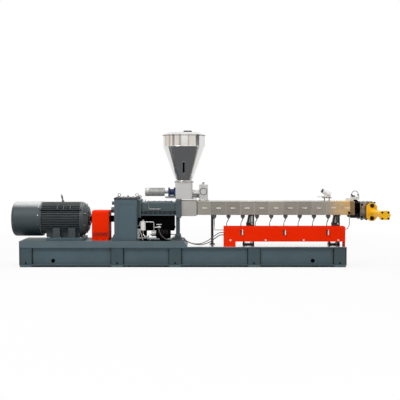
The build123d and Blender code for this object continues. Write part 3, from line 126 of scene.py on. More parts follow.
# %% Sums, blends and bumps
def object_axis(tree, axis):
    """Where a point is along one axis of the object, in metres."""
    place = tree.nodes.new("ShaderNodeTexCoord")
    split = tree.nodes.new("ShaderNodeSeparateXYZ")
    tree.links.new(place.outputs["Object"], split.inputs[0])
    return split.outputs[axis]


def math_node(tree, operation, first, second=0.0):
    """One sum of two values; each is a socket or a number."""
    node = tree.nodes.new("ShaderNodeMath")
    node.operation = operation
    for socket, value in zip(node.inputs, (first, second)):
        if isinstance(value, (int, float)):
            socket.default_value = value
        else:
            tree.links.new(value, socket)
    return node.outputs[0]


def blend_colours(tree, mask, first, second):
    """A colour between two, by a mask; each colour is a socket or three numbers."""
    node = tree.nodes.new("ShaderNodeMix")
    node.data_type = "RGBA"
    tree.links.new(mask, node.inputs["Factor"])
    for socket, value in ((node.inputs[6], first), (node.inputs[7], second)):
        if isinstance(value, tuple):
            socket.default_value = (*value, 1.0)
        else:
            tree.links.new(value, socket)
    return node.outputs[2]


def ramp(tree, value, start, end, low=0.0, high=1.0):
    """Rises from low to high while the value goes from start to end."""
    node = tree.nodes.new("ShaderNodeMapRange")
    tree.links.new(value, node.inputs["Value"])
    for label, number in (("From Min", start), ("From Max", end), ("To Min", low), ("To Max", high)):
        node.inputs[label].default_value = number
    return node.outputs["Result"]


def spread(tree, value, low, high):
    """Maps a value from 0..1 to low..high."""
    return ramp(tree, value, 0.0, 1.0, low, high)


def bump_from(tree, shader, height, strength, distance):
    """Feeds a height into the shader's normal."""
    bump = tree.nodes.new("ShaderNodeBump")
    bump.inputs["Strength"].default_value = strength
    bump.inputs["Distance"].default_value = distance
    tree.links.new(height, bump.inputs["Height"])
    tree.links.new(bump.outputs["Normal"], shader.inputs["Normal"])


# %% [markdown]
# ## Shared effects
# Five effects come back on many finishes, so each is a node group: the skin of sprayed paint with its faint orange
# peel, the fine lines of brushed sheet, patchy grime that gathers low on the machine, a film between two heights for
# dust and for painted light and shade, and the mottle of worn or oily metal. They give masks and heights only, so
# each material mixes its own colours.


# %% Effect: paint skin
def make_paint_skin():
    """Orange peel as a height, and slow shade changes as a mask."""
    tree, given, out = group_tree("paint_skin", (("Peel Scale", 260.0), ("Patch Scale", 2.2)), ("Height", "Shade"))
    place = tree.nodes.new("ShaderNodeTexCoord")
    peel = add(tree, "ShaderNodeTexNoise", detail=2.0, roughness=0.5)
    patch = add(tree, "ShaderNodeTexNoise", detail=5.0, roughness=0.62)
    for noise, socket, result in ((peel, "Peel Scale", "Height"), (patch, "Patch Scale", "Shade")):
        tree.links.new(place.outputs["Object"], noise.inputs["Vector"])
        tree.links.new(given.outputs[socket], noise.inputs["Scale"])
        tree.links.new(noise.outputs["Fac"], out.inputs[result])
    return tree


paint_skin = make_paint_skin()


# %% Effect: brushed lines
def make_brushed_lines():
    """Fine lines along one direction: the stretch of each axis sets which."""
    tree, given, out = group_tree("brushed_lines", (("Along X", 3.0), ("Along Y", 260.0), ("Along Z", 260.0)),
                                  ("Height", "Shade"))
    place = tree.nodes.new("ShaderNodeTexCoord")
    stretch = tree.nodes.new("ShaderNodeCombineXYZ")
    for axis in "XYZ":
        tree.links.new(given.outputs[f"Along {axis}"], stretch.inputs[axis])
    scaled = add(tree, "ShaderNodeVectorMath", operation="MULTIPLY")
    tree.links.new(place.outputs["Object"], scaled.inputs[0])
    tree.links.new(stretch.outputs[0], scaled.inputs[1])
    lines = add(tree, "ShaderNodeTexNoise", scale=1.0, detail=4.0, roughness=0.65)
    slow = add(tree, "ShaderNodeTexNoise", scale=3.1, detail=3.0, roughness=0.55)
    tree.links.new(scaled.outputs[0], lines.inputs["Vector"])
    tree.links.new(place.outputs["Object"], slow.inputs["Vector"])
    tree.links.new(lines.outputs["Fac"], out.inputs["Height"])
    mixed = math_node(tree, "ADD", math_node(tree, "MULTIPLY", lines.outputs["Fac"], 0.55),
                      math_node(tree, "MULTIPLY", slow.outputs["Fac"], 0.45))
    tree.links.new(mixed, out.inputs["Shade"])
    return tree


brushed_lines = make_brushed_lines()


# %% Effect: grime that gathers low
def make_low_grime():
    """A mask that is strongest near the floor and breaks up in patches."""
    tree, given, out = group_tree("low_grime", (("Top Height", 0.6), ("Patch Scale", 6.0)), ("Mask",))
    place = tree.nodes.new("ShaderNodeTexCoord")
    split = tree.nodes.new("ShaderNodeSeparateXYZ")
    tree.links.new(place.outputs["Object"], split.inputs[0])
    fall = tree.nodes.new("ShaderNodeMapRange")
    tree.links.new(split.outputs["Z"], fall.inputs["Value"])
    tree.links.new(given.outputs["Top Height"], fall.inputs["From Max"])
    fall.inputs["To Min"].default_value = 1.0
    fall.inputs["To Max"].default_value = 0.0
    patch = add(tree, "ShaderNodeTexNoise", detail=6.0, roughness=0.68)
    tree.links.new(place.outputs["Object"], patch.inputs["Vector"])
    tree.links.new(given.outputs["Patch Scale"], patch.inputs["Scale"])
    tree.links.new(math_node(tree, "MULTIPLY", fall.outputs["Result"], patch.outputs["Fac"]), out.inputs["Mask"])
    return tree


low_grime = make_low_grime()


# %% Effect: dust and painted light between two heights
def make_dust_and_painted_light():
    """A mask that grows from a low to a high level and breaks up in fine patches."""
    tree, given, out = group_tree("dust_and_painted_light", (("Low Height", 1.0), ("High Height", 1.1)), ("Mask",))
    place = tree.nodes.new("ShaderNodeTexCoord")
    split = tree.nodes.new("ShaderNodeSeparateXYZ")
    tree.links.new(place.outputs["Object"], split.inputs[0])
    rise = add(tree, "ShaderNodeMapRange", interpolation_type="SMOOTHSTEP")
    tree.links.new(split.outputs["Z"], rise.inputs["Value"])
    tree.links.new(given.outputs["Low Height"], rise.inputs["From Min"])
    tree.links.new(given.outputs["High Height"], rise.inputs["From Max"])
    patch = add(tree, "ShaderNodeTexNoise", scale=34.0, detail=4.0, roughness=0.6)
    tree.links.new(place.outputs["Object"], patch.inputs["Vector"])
    broken = math_node(tree, "MULTIPLY", rise.outputs["Result"], spread(tree, patch.outputs["Fac"], 0.35, 1.6))
    tree.links.new(broken, out.inputs["Mask"])
    return tree


dust_and_painted_light = make_dust_and_painted_light()


# %% Effect: mottle of handled metal
def make_mottle():
    """Cloudy marks and small pits for cast and machined metal."""
    tree, given, out = group_tree("mottle", (("Cloud Scale", 9.0), ("Pit Scale", 180.0)), ("Cloud", "Pits"))
    place = tree.nodes.new("ShaderNodeTexCoord")
    cloud = add(tree, "ShaderNodeTexNoise", detail=7.0, roughness=0.6, distortion=0.4)
    pits = add(tree, "ShaderNodeTexVoronoi")
    for texture, socket in ((cloud, "Cloud Scale"), (pits, "Pit Scale")):
        tree.links.new(place.outputs["Object"], texture.inputs["Vector"])
        tree.links.new(given.outputs[socket], texture.inputs["Scale"])
    tree.links.new(cloud.outputs["Fac"], out.inputs["Cloud"])
    tree.links.new(pits.outputs["Distance"], out.inputs["Pits"])
    return tree


mottle = make_mottle()
print("shader groups", [group.name for group in (paint_skin, brushed_lines, low_grime, dust_and_painted_light, mottle)])

# %% [markdown]
# ## Paints
# Most of the machine is sprayed: slate grey on base and gearbox, a darker grey on the motor, signal red, warm yellow
# and navy. A lighter copy of the slate grey on the deck is painted light, and a darker copy on the posts is painted
# shade. One function makes them all: two close shades drift over the surface, a little grime lightens the foot of the
# machine, and the orange peel goes into the bump. Most of these paints are matt, so their shine is low, and only the
# navy has a thin clear coat. Films over a range of heights lighten the top of the motor with dust and painted top
# light, and on its fan cover they give a painted highlight with dust along the top and painted shade over the
# underside.

# %% Paints
GRIME = (0.20, 0.19, 0.17)
PEEL_DEPTH, COAT_ROUGHNESS = 0.0006, 0.12


def sprayed(name, colour, roughness=0.42, coat=0.0, drift=0.14, grime=0.0, grime_top=0.6, peel=0.12, shine=0.3,
            films=()):
    """Sprayed paint with drift, low grime and orange peel; a film is (from height, to height, colour)."""
    material, tree, shader = start_material(name, roughness)
    skin = place_group(tree, paint_skin)
    darker = tuple(c * (1 - drift) for c in colour)
    lighter = tuple(min(1.0, c * (1 + drift) + 0.002) for c in colour)
    tint = blend_colours(tree, spread(tree, skin.outputs["Shade"], -0.35, 1.35), darker, lighter)
    if grime:
        dirt = place_group(tree, low_grime, top_height=grime_top)
        tint = blend_colours(tree, math_node(tree, "MULTIPLY", dirt.outputs["Mask"], grime), tint, GRIME)
    # Films serve as dust and as painted light and shade between two heights.
    for start, end, film in films:
        dust_and_light_film = place_group(tree, dust_and_painted_light, low_height=start, high_height=end)
        tint = blend_colours(tree, dust_and_light_film.outputs["Mask"], tint, film)
    tree.links.new(tint, shader.inputs["Base Color"])
    tree.links.new(spread(tree, skin.outputs["Shade"], roughness - 0.08, roughness + 0.10), shader.inputs["Roughness"])
    shader.inputs["Specular IOR Level"].default_value = shine
    shader.inputs["Coat Weight"].default_value = coat
    shader.inputs["Coat Roughness"].default_value = COAT_ROUGHNESS
    bump_from(tree, shader, skin.outputs["Height"], peel, PEEL_DEPTH)
    return material


slate_paint = sprayed("slate_paint", (0.070, 0.116, 0.137), 0.45, grime=0.16, grime_top=0.4)
# A lighter copy of the slate grey: painted light on the deck.
lit_deck_paint = sprayed("lit_deck_paint", (0.094, 0.136, 0.153), 0.45)
# A darker copy of the slate grey: painted shade on the posts.
shaded_post_paint = sprayed("shaded_post_paint", (0.046, 0.080, 0.093), 0.45, grime=0.14, grime_top=0.4)
gearbox_paint = sprayed("gearbox_paint", (0.070, 0.110, 0.130), 0.36, drift=0.10, shine=0.45)
casing_paint = sprayed("casing_paint", (0.062, 0.090, 0.099), 0.38, drift=0.10, shine=0.40)
# The film lightens the top of the motor: dust and painted top light.
motor_paint = sprayed("motor_paint", (0.052, 0.066, 0.069), 0.46, drift=0.16,
                      films=((0.98, 1.12, (0.17, 0.18, 0.175)),))
red_paint = sprayed("red_paint", (0.86, 0.023, 0.0003), 0.50, drift=0.04, peel=0.08, shine=0.02)
yellow_paint = sprayed("yellow_paint", (0.94, 0.50, 0.008), 0.40, drift=0.08, shine=0.16)
navy_paint = sprayed("navy_paint", (0.009, 0.029, 0.108), 0.34, coat=0.15, drift=0.10)
# Also painted shade: the sheets behind the guard's louvres and the cups in the lifting holes.
black_paint_and_shade = sprayed("black_paint_and_shade", (0.0012, 0.0012, 0.0013), 0.66, drift=0.25, shine=0.01)
lid_paint = sprayed("lid_paint", (0.024, 0.031, 0.034), 0.45)
# First film: a painted highlight with dust along the top of the fan cover. Second film: painted shade over its
# underside.
fan_sheet = sprayed("fan_sheet", (0.047, 0.063, 0.071), 0.50, drift=0.08, shine=0.30,
                    films=((1.010, 1.105, (0.64, 0.65, 0.65)), (0.80, 0.58, (0.010, 0.020, 0.026))))
print("paints ready")

# %% [markdown]
# ## Metals
# Two functions make the bare metals. Brushed sheet has fine lines along one direction, as on the polished hopper and
# the ground feed barrel. Machined and cast metal has cloudy marks and fine pits, as on the deck of galvanised sheet
# below the barrel. Metal that the photograph shows pale and even is given less than full metallic.

# %% Brushed and mottled metals
GRAIN_DEPTH = 0.0004


def brushed(name, dark, light, roughness, lines, bump=0.06, metallic=1.0):
    """Brushed sheet: lines set the stretch of the grain on each axis."""
    material, tree, shader = start_material(name, roughness, metallic)
    grain = place_group(tree, brushed_lines, along_x=lines[0], along_y=lines[1], along_z=lines[2])
    tree.links.new(blend_colours(tree, grain.outputs["Shade"], dark, light), shader.inputs["Base Color"])
    tree.links.new(spread(tree, grain.outputs["Shade"], roughness - 0.08, roughness + 0.12), shader.inputs["Roughness"])
    bump_from(tree, shader, grain.outputs["Height"], bump, GRAIN_DEPTH)
    return material


def mottled(name, dark, light, roughness, metallic=1.0, cloud=9.0, bump=0.05):
    """Machined or cast metal with cloudy marks and fine pits."""
    material, tree, shader = start_material(name, roughness, metallic)
    marks = place_group(tree, mottle, cloud_scale=cloud)
    tree.links.new(blend_colours(tree, spread(tree, marks.outputs["Cloud"], -0.4, 1.4), dark, light),
                   shader.inputs["Base Color"])
    tree.links.new(spread(tree, marks.outputs["Cloud"], roughness - 0.1, roughness + 0.12), shader.inputs["Roughness"])
    bump_from(tree, shader, marks.outputs["Pits"], bump, GRAIN_DEPTH)
    return material


polished_steel = brushed("polished_steel", (0.66, 0.66, 0.65), (0.80, 0.80, 0.79), 0.12, (120.0, 120.0, 2.0), bump=0.02)
ground_steel = brushed("ground_steel", (0.60, 0.57, 0.535), (0.77, 0.74, 0.70), 0.38, (4.0, 240.0, 240.0))
machined_steel = mottled("machined_steel", (0.34, 0.33, 0.31), (0.56, 0.55, 0.53), 0.34)
galvanised = mottled("galvanised", (0.90, 0.89, 0.88), (0.96, 0.95, 0.94), 0.20, metallic=0.85, cloud=26.0, bump=0.01)
zinc = mottled("zinc", (0.50, 0.50, 0.48), (0.72, 0.72, 0.70), 0.30, cloud=40.0)
black_oxide = mottled("black_oxide", (0.016, 0.016, 0.017), (0.040, 0.039, 0.038), 0.42, cloud=30.0)
bright_steel = brushed("bright_steel", (0.80, 0.79, 0.77), (0.92, 0.91, 0.89), 0.34, (4.0, 180.0, 180.0), metallic=0.2)
satin_steel = brushed("satin_steel", (0.52, 0.51, 0.50), (0.70, 0.69, 0.675), 0.42, (180.0, 180.0, 4.0), metallic=0.35)
# Also painted light on the front of the stand webs.
aluminium_and_painted_light = mottled("aluminium_and_painted_light", (0.28, 0.275, 0.265), (0.52, 0.52, 0.51), 0.40, metallic=0.35, cloud=30.0)
brown_steel = mottled("brown_steel", (0.16, 0.11, 0.085), (0.34, 0.25, 0.20), 0.40, cloud=20.0)
cast_iron = mottled("cast_iron", (0.082, 0.090, 0.086), (0.19, 0.205, 0.196), 0.52, metallic=0.2, cloud=16.0, bump=0.2)
# Oily stains on the screen changer; the dark and pale patches also stand for painted shade and painted highlights.
stains_and_painted_light_steel = mottled("stains_and_painted_light_steel", (0.03, 0.027, 0.028), (0.52, 0.505, 0.505), 0.30, cloud=14.0)


# %% [markdown]
# ## Heat-tinted covers
# The barrel covers are brushed sheet that the heat has warmed to taupe, each section to its own tone, with straw and
# gold on the hottest two sections at the outlet and a brown scorch at the very end. Eleven materials could do it, but
# one is enough: the place along the barrel gives the number of the section, the heat and the scorch, and clouds break
# them up.

# %% Heat-tinted covers
COVER_COUNT = 11
TONE_SEED = 2913
HEAT_START, HEAT_END = 2.0, 0.62
SCORCH_START, SCORCH_END, SCORCH_SHARE, SCORCH = 0.090, 0.074, 0.72, (0.105, 0.062, 0.036)


def section_tone(tree, number, grain):
    """Taupe between a darker and a lighter sheet, with a fixed tone for each section."""
    tone = tree.nodes.new("ShaderNodeTexWhiteNoise")
    tone.noise_dimensions = "1D"
    tree.links.new(math_node(tree, "ADD", number, TONE_SEED), tone.inputs["W"])
    darker = blend_colours(tree, grain, (0.258, 0.2435, 0.215), (0.401, 0.380, 0.336))
    lighter = blend_colours(tree, grain, (0.362, 0.337, 0.288), (0.543, 0.509, 0.440))
    return blend_colours(tree, tone.outputs["Value"], darker, lighter)


def make_cover_steel():
    """Brushed covers: taupe of its own tone on each section, straw to gold over the last two."""
    material, tree, shader = start_material("cover_steel", 0.40, 0.65)
    grain = place_group(tree, brushed_lines, along_x=3.0, along_y=230.0, along_z=230.0)
    cloud = place_group(tree, mottle, cloud_scale=7.0).outputs["Cloud"]
    low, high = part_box("barrel_covers")
    section = (high.x - low.x) / COVER_COUNT
    along = object_axis(tree, "X")
    number = math_node(tree, "DIVIDE", math_node(tree, "SUBTRACT", along, low.x), section)
    plain = section_tone(tree, math_node(tree, "FLOOR", number), grain.outputs["Shade"])
    heat = ramp(tree, along, high.x - HEAT_START * section, high.x - HEAT_END * section)
    broken = math_node(tree, "MULTIPLY", heat, spread(tree, cloud, 0.25, 1.55))
    gold = blend_colours(tree, cloud, (0.62, 0.36, 0.12), (1.0, 0.70, 0.30))
    tinted = blend_colours(tree, broken, plain, gold)
    scorch = ramp(tree, along, high.x - SCORCH_START, high.x - SCORCH_END, high=SCORCH_SHARE)
    tree.links.new(blend_colours(tree, scorch, tinted, SCORCH), shader.inputs["Base Color"])
    tree.links.new(spread(tree, cloud, 0.30, 0.52), shader.inputs["Roughness"])
    bump_from(tree, shader, grain.outputs["Height"], 0.06, GRAIN_DEPTH)
    return material


cover_steel = make_cover_steel()

# %% [markdown]
# ## Plastics and rubber
# Hoses, leads, gaskets, caps and the filter's bowl are moulded. Their skin is close to that of paint, so the same
# function makes them, with a little more drift of the shade.


# %% Plastics and rubber
def moulded(name, colour, roughness, peel=0.1):
    """Moulded plastic or rubber with a fine skin."""
    return sprayed(name, colour, roughness, drift=0.12, peel=peel)


# Also a painted highlight on the trough handles.
white_plastic = moulded("white_plastic", (0.78, 0.78, 0.75), 0.45)
black_plastic = moulded("black_plastic", (0.012, 0.012, 0.013), 0.48)
# Also painted shadow under the hopper lid's skirt.
hose_rubber_and_shadow = moulded("hose_rubber_and_shadow", (0.085, 0.082, 0.078), 0.50, peel=0.3)
# Also painted shadow at the base posts and beside the trough handles, and painted shade round the louvres.
dark_rubber_and_painted_shadow = moulded("dark_rubber_and_painted_shadow", (0.022, 0.022, 0.023), 0.50)
grey_sleeve = moulded("grey_sleeve", (0.13, 0.13, 0.125), 0.5, peel=0.4)
print("metals and plastics ready")

# %% [markdown]
# ## Finishes on the CAD pieces
# A table names the finish of every carried-over piece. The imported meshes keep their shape, and only their material
# slot changes.

# %% Finishes on the CAD pieces
FINISHES = {
    lit_deck_paint: "drive_deck",
    slate_paint: "base_rails base_side_plates base_cross_beams base_feet motor_sole_plate",
    shaded_post_paint: "base_posts",
    motor_paint: "motor_frame motor_end_shield",
    fan_sheet: "motor_fan_cover",
    gearbox_paint: "gearbox_housing",
    casing_paint: "gearbox_caps distribution_housing gearbox_pedestal",
    cast_iron: "barrel_drain_blocks",
    lid_paint: "gearbox_cover barrel_stands",
    black_paint_and_shade: "oil_sump lube_stand lube_pump_motor die_adapter lead_plug drive_shaft hopper_lid_handle "
                 "hopper_sight_glass",
    red_paint: "coupling_guard pipe_trough trough_legs",
    yellow_paint: "changer_yoke hydraulic_cylinder cylinder_end_cap",
    navy_paint: "feeder_gear_unit",
    galvanised: "barrel_deck",
    ground_steel: "feed_barrel",
    machined_steel: "barrel_core cooling_tubes feeder_outlet gearbox_fittings feeder_bracket gearbox_oil_pipe",
    stains_and_painted_light_steel: "screen_changer",
    bright_steel: "vent_dome feeder_base",
    brown_steel: "vent_port",
    satin_steel: "feeder_body feeder_outlet_box",
    aluminium_and_painted_light: "feeder_motor lube_pump",
    cover_steel: "barrel_covers",
    polished_steel: "hopper hopper_lid trough_handles",
    zinc: "lube_pipes",
    white_plastic: "oil_filter terminal_block",
    black_plastic: "motor_fan",
}
for finish, names in FINISHES.items():
    for name in names.split():
        mesh = nodes[name].data
        mesh.materials.clear()
        mesh.materials.append(finish)
print("finished pieces", sum(len(names.split()) for names in FINISHES.values()))

# %% [markdown]
# ## Hoses and leads
# Four free lines show: the hose from the valve and the cable from the pump motor, which both sag over the deck's edge
# into the trough, the lead that hangs from the last barrel section, and the sensor loop on the outlet end. Each is
# one smooth curve through its route's points, so it bends like a hose and not like wire.


# %% Line maker
def lay_line(name, points, diameter, material):
    """A free line as a smooth curve of real length and thickness."""
    curve = bpy.data.curves.new(name, "CURVE")
    curve.dimensions = "3D"
    curve.bevel_depth = diameter / 2
    curve.bevel_resolution = 4
    curve.use_fill_caps = True
    line = curve.splines.new("NURBS")
    line.points.add(len(points) - 1)
    for control, point in zip(line.points, points):
        control.co = (*point, 1.0)
    line.order_u = 3
    line.use_endpoint_u = True
    line.resolution_u = 6
    curve.materials.append(material)
    piece = bpy.data.objects.new(f"{name}_line", curve)
    bpy.context.scene.collection.objects.link(piece)
    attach(piece, "machine")
    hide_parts(name)


# %% Routes of the hoses and leads
PUMP_HOSE = [
    (-0.414, -0.238, 0.676), (-0.414, -0.270, 0.676), (-0.414, -0.302, 0.667), (-0.411, -0.327, 0.644),
    (-0.403, -0.340, 0.610), (-0.384, -0.345, 0.566), (-0.350, -0.346, 0.522), (-0.296, -0.346, 0.486),
    (-0.222, -0.344, 0.466), (-0.130, -0.337, 0.462), (-0.036, -0.325, 0.470), (0.042, -0.309, 0.456),
    (0.114, -0.293, 0.418), (0.200, -0.276, 0.388), (0.296, -0.261, 0.378), (0.390, -0.248, 0.392),
    (0.474, -0.238, 0.428), (0.544, -0.230, 0.478), (0.600, -0.223, 0.522), (0.652, -0.220, 0.548),
    (0.707, -0.220, 0.548)]
PUMP_CABLE = [
    (-0.208, -0.215, 0.556), (-0.172, -0.215, 0.556), (-0.122, -0.214, 0.545), (-0.066, -0.211, 0.526),
    (-0.010, -0.207, 0.496), (0.044, -0.202, 0.452), (0.112, -0.196, 0.410), (0.198, -0.189, 0.386),
    (0.292, -0.182, 0.388), (0.382, -0.175, 0.414), (0.462, -0.169, 0.460), (0.534, -0.164, 0.516),
    (0.598, -0.161, 0.562), (0.650, -0.160, 0.584), (0.707, -0.160, 0.584)]
END_LEAD = [
    (2.897, -0.164, 0.906), (2.897, -0.164, 0.862), (2.898, -0.170, 0.808), (2.898, -0.181, 0.752),
    (2.889, -0.193, 0.702), (2.868, -0.204, 0.664), (2.836, -0.210, 0.640), (2.798, -0.210, 0.640)]
SENSOR_LEAD = [
    (2.964, -0.020, 1.230), (2.964, -0.020, 1.2665), (2.9858, -0.020, 1.2965), (3.021, -0.020, 1.3079),
    (3.0562, -0.020, 1.2965), (3.078, -0.020, 1.2665), (3.078, -0.020, 1.230)]
lay_line("pump_hose", PUMP_HOSE, 0.016, hose_rubber_and_shadow)
lay_line("pump_cable", PUMP_CABLE, 0.014, hose_rubber_and_shadow)
lay_line("end_lead", END_LEAD, 0.012, grey_sleeve)
lay_line("sensor_lead", SENSOR_LEAD, 0.010, dark_rubber_and_painted_shadow)
print("lines laid")

# %% [markdown]
# ## Pieces that grow from points
# Bolts, bars and rings come back all over the machine. They could be copied by hand, but a Geometry Nodes tree with
# named sizes makes them all from a few points and stays easy to change. A tree ends in real meshes with their finish,
# and the result is kept as a plain mesh on the body that carries it.


# %% Ends of a tree, and finished pieces
def start_tree(name, sizes, counts):
    """A Geometry Nodes tree with named sizes, counts and a finish; also its input and its output."""
    tree = bpy.data.node_groups.new(name, "GeometryNodeTree")
    tree.is_modifier = True
    face = tree.interface
    face.new_socket("Geometry", in_out="INPUT", socket_type="NodeSocketGeometry")
    for kind, inputs in (("NodeSocketFloat", sizes), ("NodeSocketInt", counts)):
        for label, value in inputs:
            face.new_socket(label, in_out="INPUT", socket_type=kind).default_value = value
    face.new_socket("Finish", in_out="INPUT", socket_type="NodeSocketMaterial")
    face.new_socket("Geometry", in_out="OUTPUT", socket_type="NodeSocketGeometry")
    return tree, tree.nodes.new("NodeGroupInput"), tree.nodes.new("NodeGroupOutput")


def end_tree(tree, given, out, geometry):
    """Makes the instances real and gives them their finish."""
    real = tree.nodes.new("GeometryNodeRealizeInstances")
    coat = tree.nodes.new("GeometryNodeSetMaterial")
    tree.links.new(geometry, real.inputs["Geometry"])
    tree.links.new(real.outputs["Geometry"], coat.inputs["Geometry"])
    tree.links.new(given.outputs["Finish"], coat.inputs["Material"])
    tree.links.new(coat.outputs["Geometry"], out.inputs["Geometry"])


def grow(name, seeds, tree, **inputs):
    """The plain mesh that a tree makes from a mesh of points or edges."""
    maker = bpy.data.objects.new(f"{name}_maker", seeds)
    bpy.context.scene.collection.objects.link(maker)
    modifier = maker.modifiers.new("grow", "NODES")
    modifier.node_group = tree
    labels = {item.name: item.identifier for item in tree.interface.items_tree if item.in_out == "INPUT"}
    for label, value in inputs.items():
        modifier[labels[label.replace("_", " ").title()]] = value
    made = bpy.data.meshes.new_from_object(maker.evaluated_get(bpy.context.evaluated_depsgraph_get()))
    bpy.data.objects.remove(maker)
    return made


def mount(name, mesh, body):
    """A finished piece that rides on a body."""
    piece = bpy.data.objects.new(name, mesh)
    bpy.context.scene.collection.objects.link(piece)
    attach(piece, body)


# %% [markdown]
# ## Bolts
# A machine like this is full of hex bolts. A tree puts a washer and a six-sided head on every point of a mesh. Each
# point carries the way its bolt faces and its size, and each head is turned by its own fixed amount, because real
# heads never line up.

# %% Bolt tree
WASHER_SIDES = 14
TURN_SEED = 7


def point_value(tree, name, data_type):
    """A value that each point carries."""
    node = tree.nodes.new("GeometryNodeInputNamedAttribute")
    node.data_type = data_type
    node.inputs["Name"].default_value = name
    return node.outputs["Attribute"]


def hex_bolt(tree, given):
    """A washer and a head, one on top of the other."""
    link = tree.links.new
    joined = tree.nodes.new("GeometryNodeJoinGeometry")
    half_washer = math_node(tree, "MULTIPLY", given.outputs["Washer Height"], 0.5)
    half_head = math_node(tree, "MULTIPLY", given.outputs["Head Height"], 0.5)
    head_middle = math_node(tree, "ADD", given.outputs["Washer Height"], half_head)
    for part, middle in (("Washer", half_washer), ("Head", head_middle)):
        disc = tree.nodes.new("GeometryNodeMeshCylinder")
        disc.inputs["Vertices"].default_value = WASHER_SIDES
        if part == "Head":
            link(given.outputs["Sides"], disc.inputs["Vertices"])
        link(given.outputs[f"{part} Radius"], disc.inputs["Radius"])
        link(given.outputs[f"{part} Height"], disc.inputs["Depth"])
        offset = tree.nodes.new("ShaderNodeCombineXYZ")
        raised = tree.nodes.new("GeometryNodeTransform")
        link(middle, offset.inputs["Z"])
        link(disc.outputs["Mesh"], raised.inputs["Geometry"])
        link(offset.outputs[0], raised.inputs["Translation"])
        link(raised.outputs[0], joined.inputs[0])
    return joined.outputs[0]


def make_bolt_tree():
    """Washer and hex head on each point, along its facing and at its size."""
    tree, given, out = start_tree("bolt_heads", (("Head Radius", 0.0115), ("Head Height", 0.0085),
                                                 ("Washer Radius", 0.0145), ("Washer Height", 0.0025)), (("Sides", 6),))
    link = tree.links.new
    aim = tree.nodes.new("FunctionNodeAlignRotationToVector")
    aim.axis = "Z"
    link(point_value(tree, "facing", "FLOAT_VECTOR"), aim.inputs["Vector"])
    turn = tree.nodes.new("FunctionNodeRandomValue")
    turn.data_type = "FLOAT"
    turn.inputs[3].default_value = math.radians(60)
    turn.inputs["Seed"].default_value = TURN_SEED
    spin = tree.nodes.new("FunctionNodeAxisAngleToRotation")
    link(turn.outputs[1], spin.inputs["Angle"])
    turned = tree.nodes.new("FunctionNodeRotateRotation")
    turned.rotation_space = "LOCAL"
    link(aim.outputs["Rotation"], turned.inputs["Rotation"])
    link(spin.outputs["Rotation"], turned.inputs["Rotate By"])
    scatter = tree.nodes.new("GeometryNodeInstanceOnPoints")
    link(given.outputs["Geometry"], scatter.inputs["Points"])
    link(hex_bolt(tree, given), scatter.inputs["Instance"])
    link(turned.outputs["Rotation"], scatter.inputs["Rotation"])
    link(point_value(tree, "size", "FLOAT"), scatter.inputs["Scale"])
    end_tree(tree, given, out, scatter.outputs["Instances"])
    return tree


bolt_tree = make_bolt_tree()


def fit_bolts(name, places, finish, slot, body="machine", **sizes):
    """Turns a list of (place, facing, size) into one mesh of bolts that rides on a body."""
    points = bpy.data.meshes.new(f"{name}_points")
    points.from_pydata([place for place, _, _ in places], [], [])
    facing = points.attributes.new("facing", "FLOAT_VECTOR", "POINT")
    facing.data.foreach_set("vector", [x for _, way, _ in places for x in way])
    size = points.attributes.new("size", "FLOAT", "POINT")
    size.data.foreach_set("value", [scale for _, _, scale in places])
    made = grow(name, points, bolt_tree, finish=finish, **sizes)
    mount(name, made, body)
    print(name, len(places), "bolts", len(made.polygons), "faces")


# %% [markdown]
# ## Where the bolts sit
# Short helpers give a row of places between two points, a ring of places round an axis, and rows along two edges of a
# face. Most places come from the boxes of the pieces that carry the bolts, so each head sits on its face.

# %% Rows and rings of places
UP = (0.0, 0.0, 1.0)
DOWN = (0.0, 0.0, -1.0)
FRONT = (0.0, -1.0, 0.0)
REAR = (0.0, 1.0, 0.0)
LEFT = (-1.0, 0.0, 0.0)
RIGHT = (1.0, 0.0, 0.0)


def row(first, last, count, way, size):
    """Bolts in a straight row."""
    a, b = Vector(first), Vector(last)
    return [(tuple(a.lerp(b, i / max(1, count - 1))), way, size) for i in range(count)]


def two_rows(xs, ys, z, count, size, way=UP):
    """Bolts from the first to the second x, at both of the ys."""
    return [bolt for y in ys for bolt in row((xs[0], y, z), (xs[1], y, z), count, way, size)]


def edge_bolts(node, inset_x, inset_y, count, size, lift=None):
    """Bolts along the front and rear edges of a node's top, or at a lift above its underside."""
    low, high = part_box(node)
    z = high.z if lift is None else low.z + lift
    return two_rows((low.x + inset_x, high.x - inset_x), (low.y + inset_y, high.y - inset_y), z, count, size)


def circle(centre, radius, axis, count=48, start=0.0):
    """Points of a circle round axis 0, 1 or 2."""
    first, second = [i for i in range(3) if i != axis]
    points = []
    for number in range(count):
        angle = 2 * math.pi * (number + start) / count
        point = list(centre)
        point[first] += radius * math.cos(angle)
        point[second] += radius * math.sin(angle)
        points.append(tuple(point))
    return points


def ring(centre, radius, count, way, size):
    """Bolts on a circle round X, Y or Z, whichever the bolts face along."""
    axis = max(range(3), key=lambda i: abs(way[i]))
    return [(place, way, size) for place in circle(centre, radius, axis, count, 0.5)]


# %% [markdown]
# ## Painted bolts
# The lid of the gearbox, the motor's end shield and the casing were bolted up before they were sprayed, so their
# heads have the colour of what they hold. The shield's screws sit on bosses, which are the same shape with a tall
# washer.

# %% Gearbox lid
LID_INSET, LID_CORNER, LID_BOLT = 0.030, 0.15, 0.8
bolts = edge_bolts("gearbox_cover", LID_INSET, LID_INSET, 5, LID_BOLT)
low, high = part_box("gearbox_cover")
for x in (low.x + LID_INSET, high.x - LID_INSET):
    bolts += row((x, low.y + LID_CORNER, high.z), (x, high.y - LID_CORNER, high.z), 3, UP, LID_BOLT)
fit_bolts("lid_bolts", bolts, lid_paint, "dark_paint")

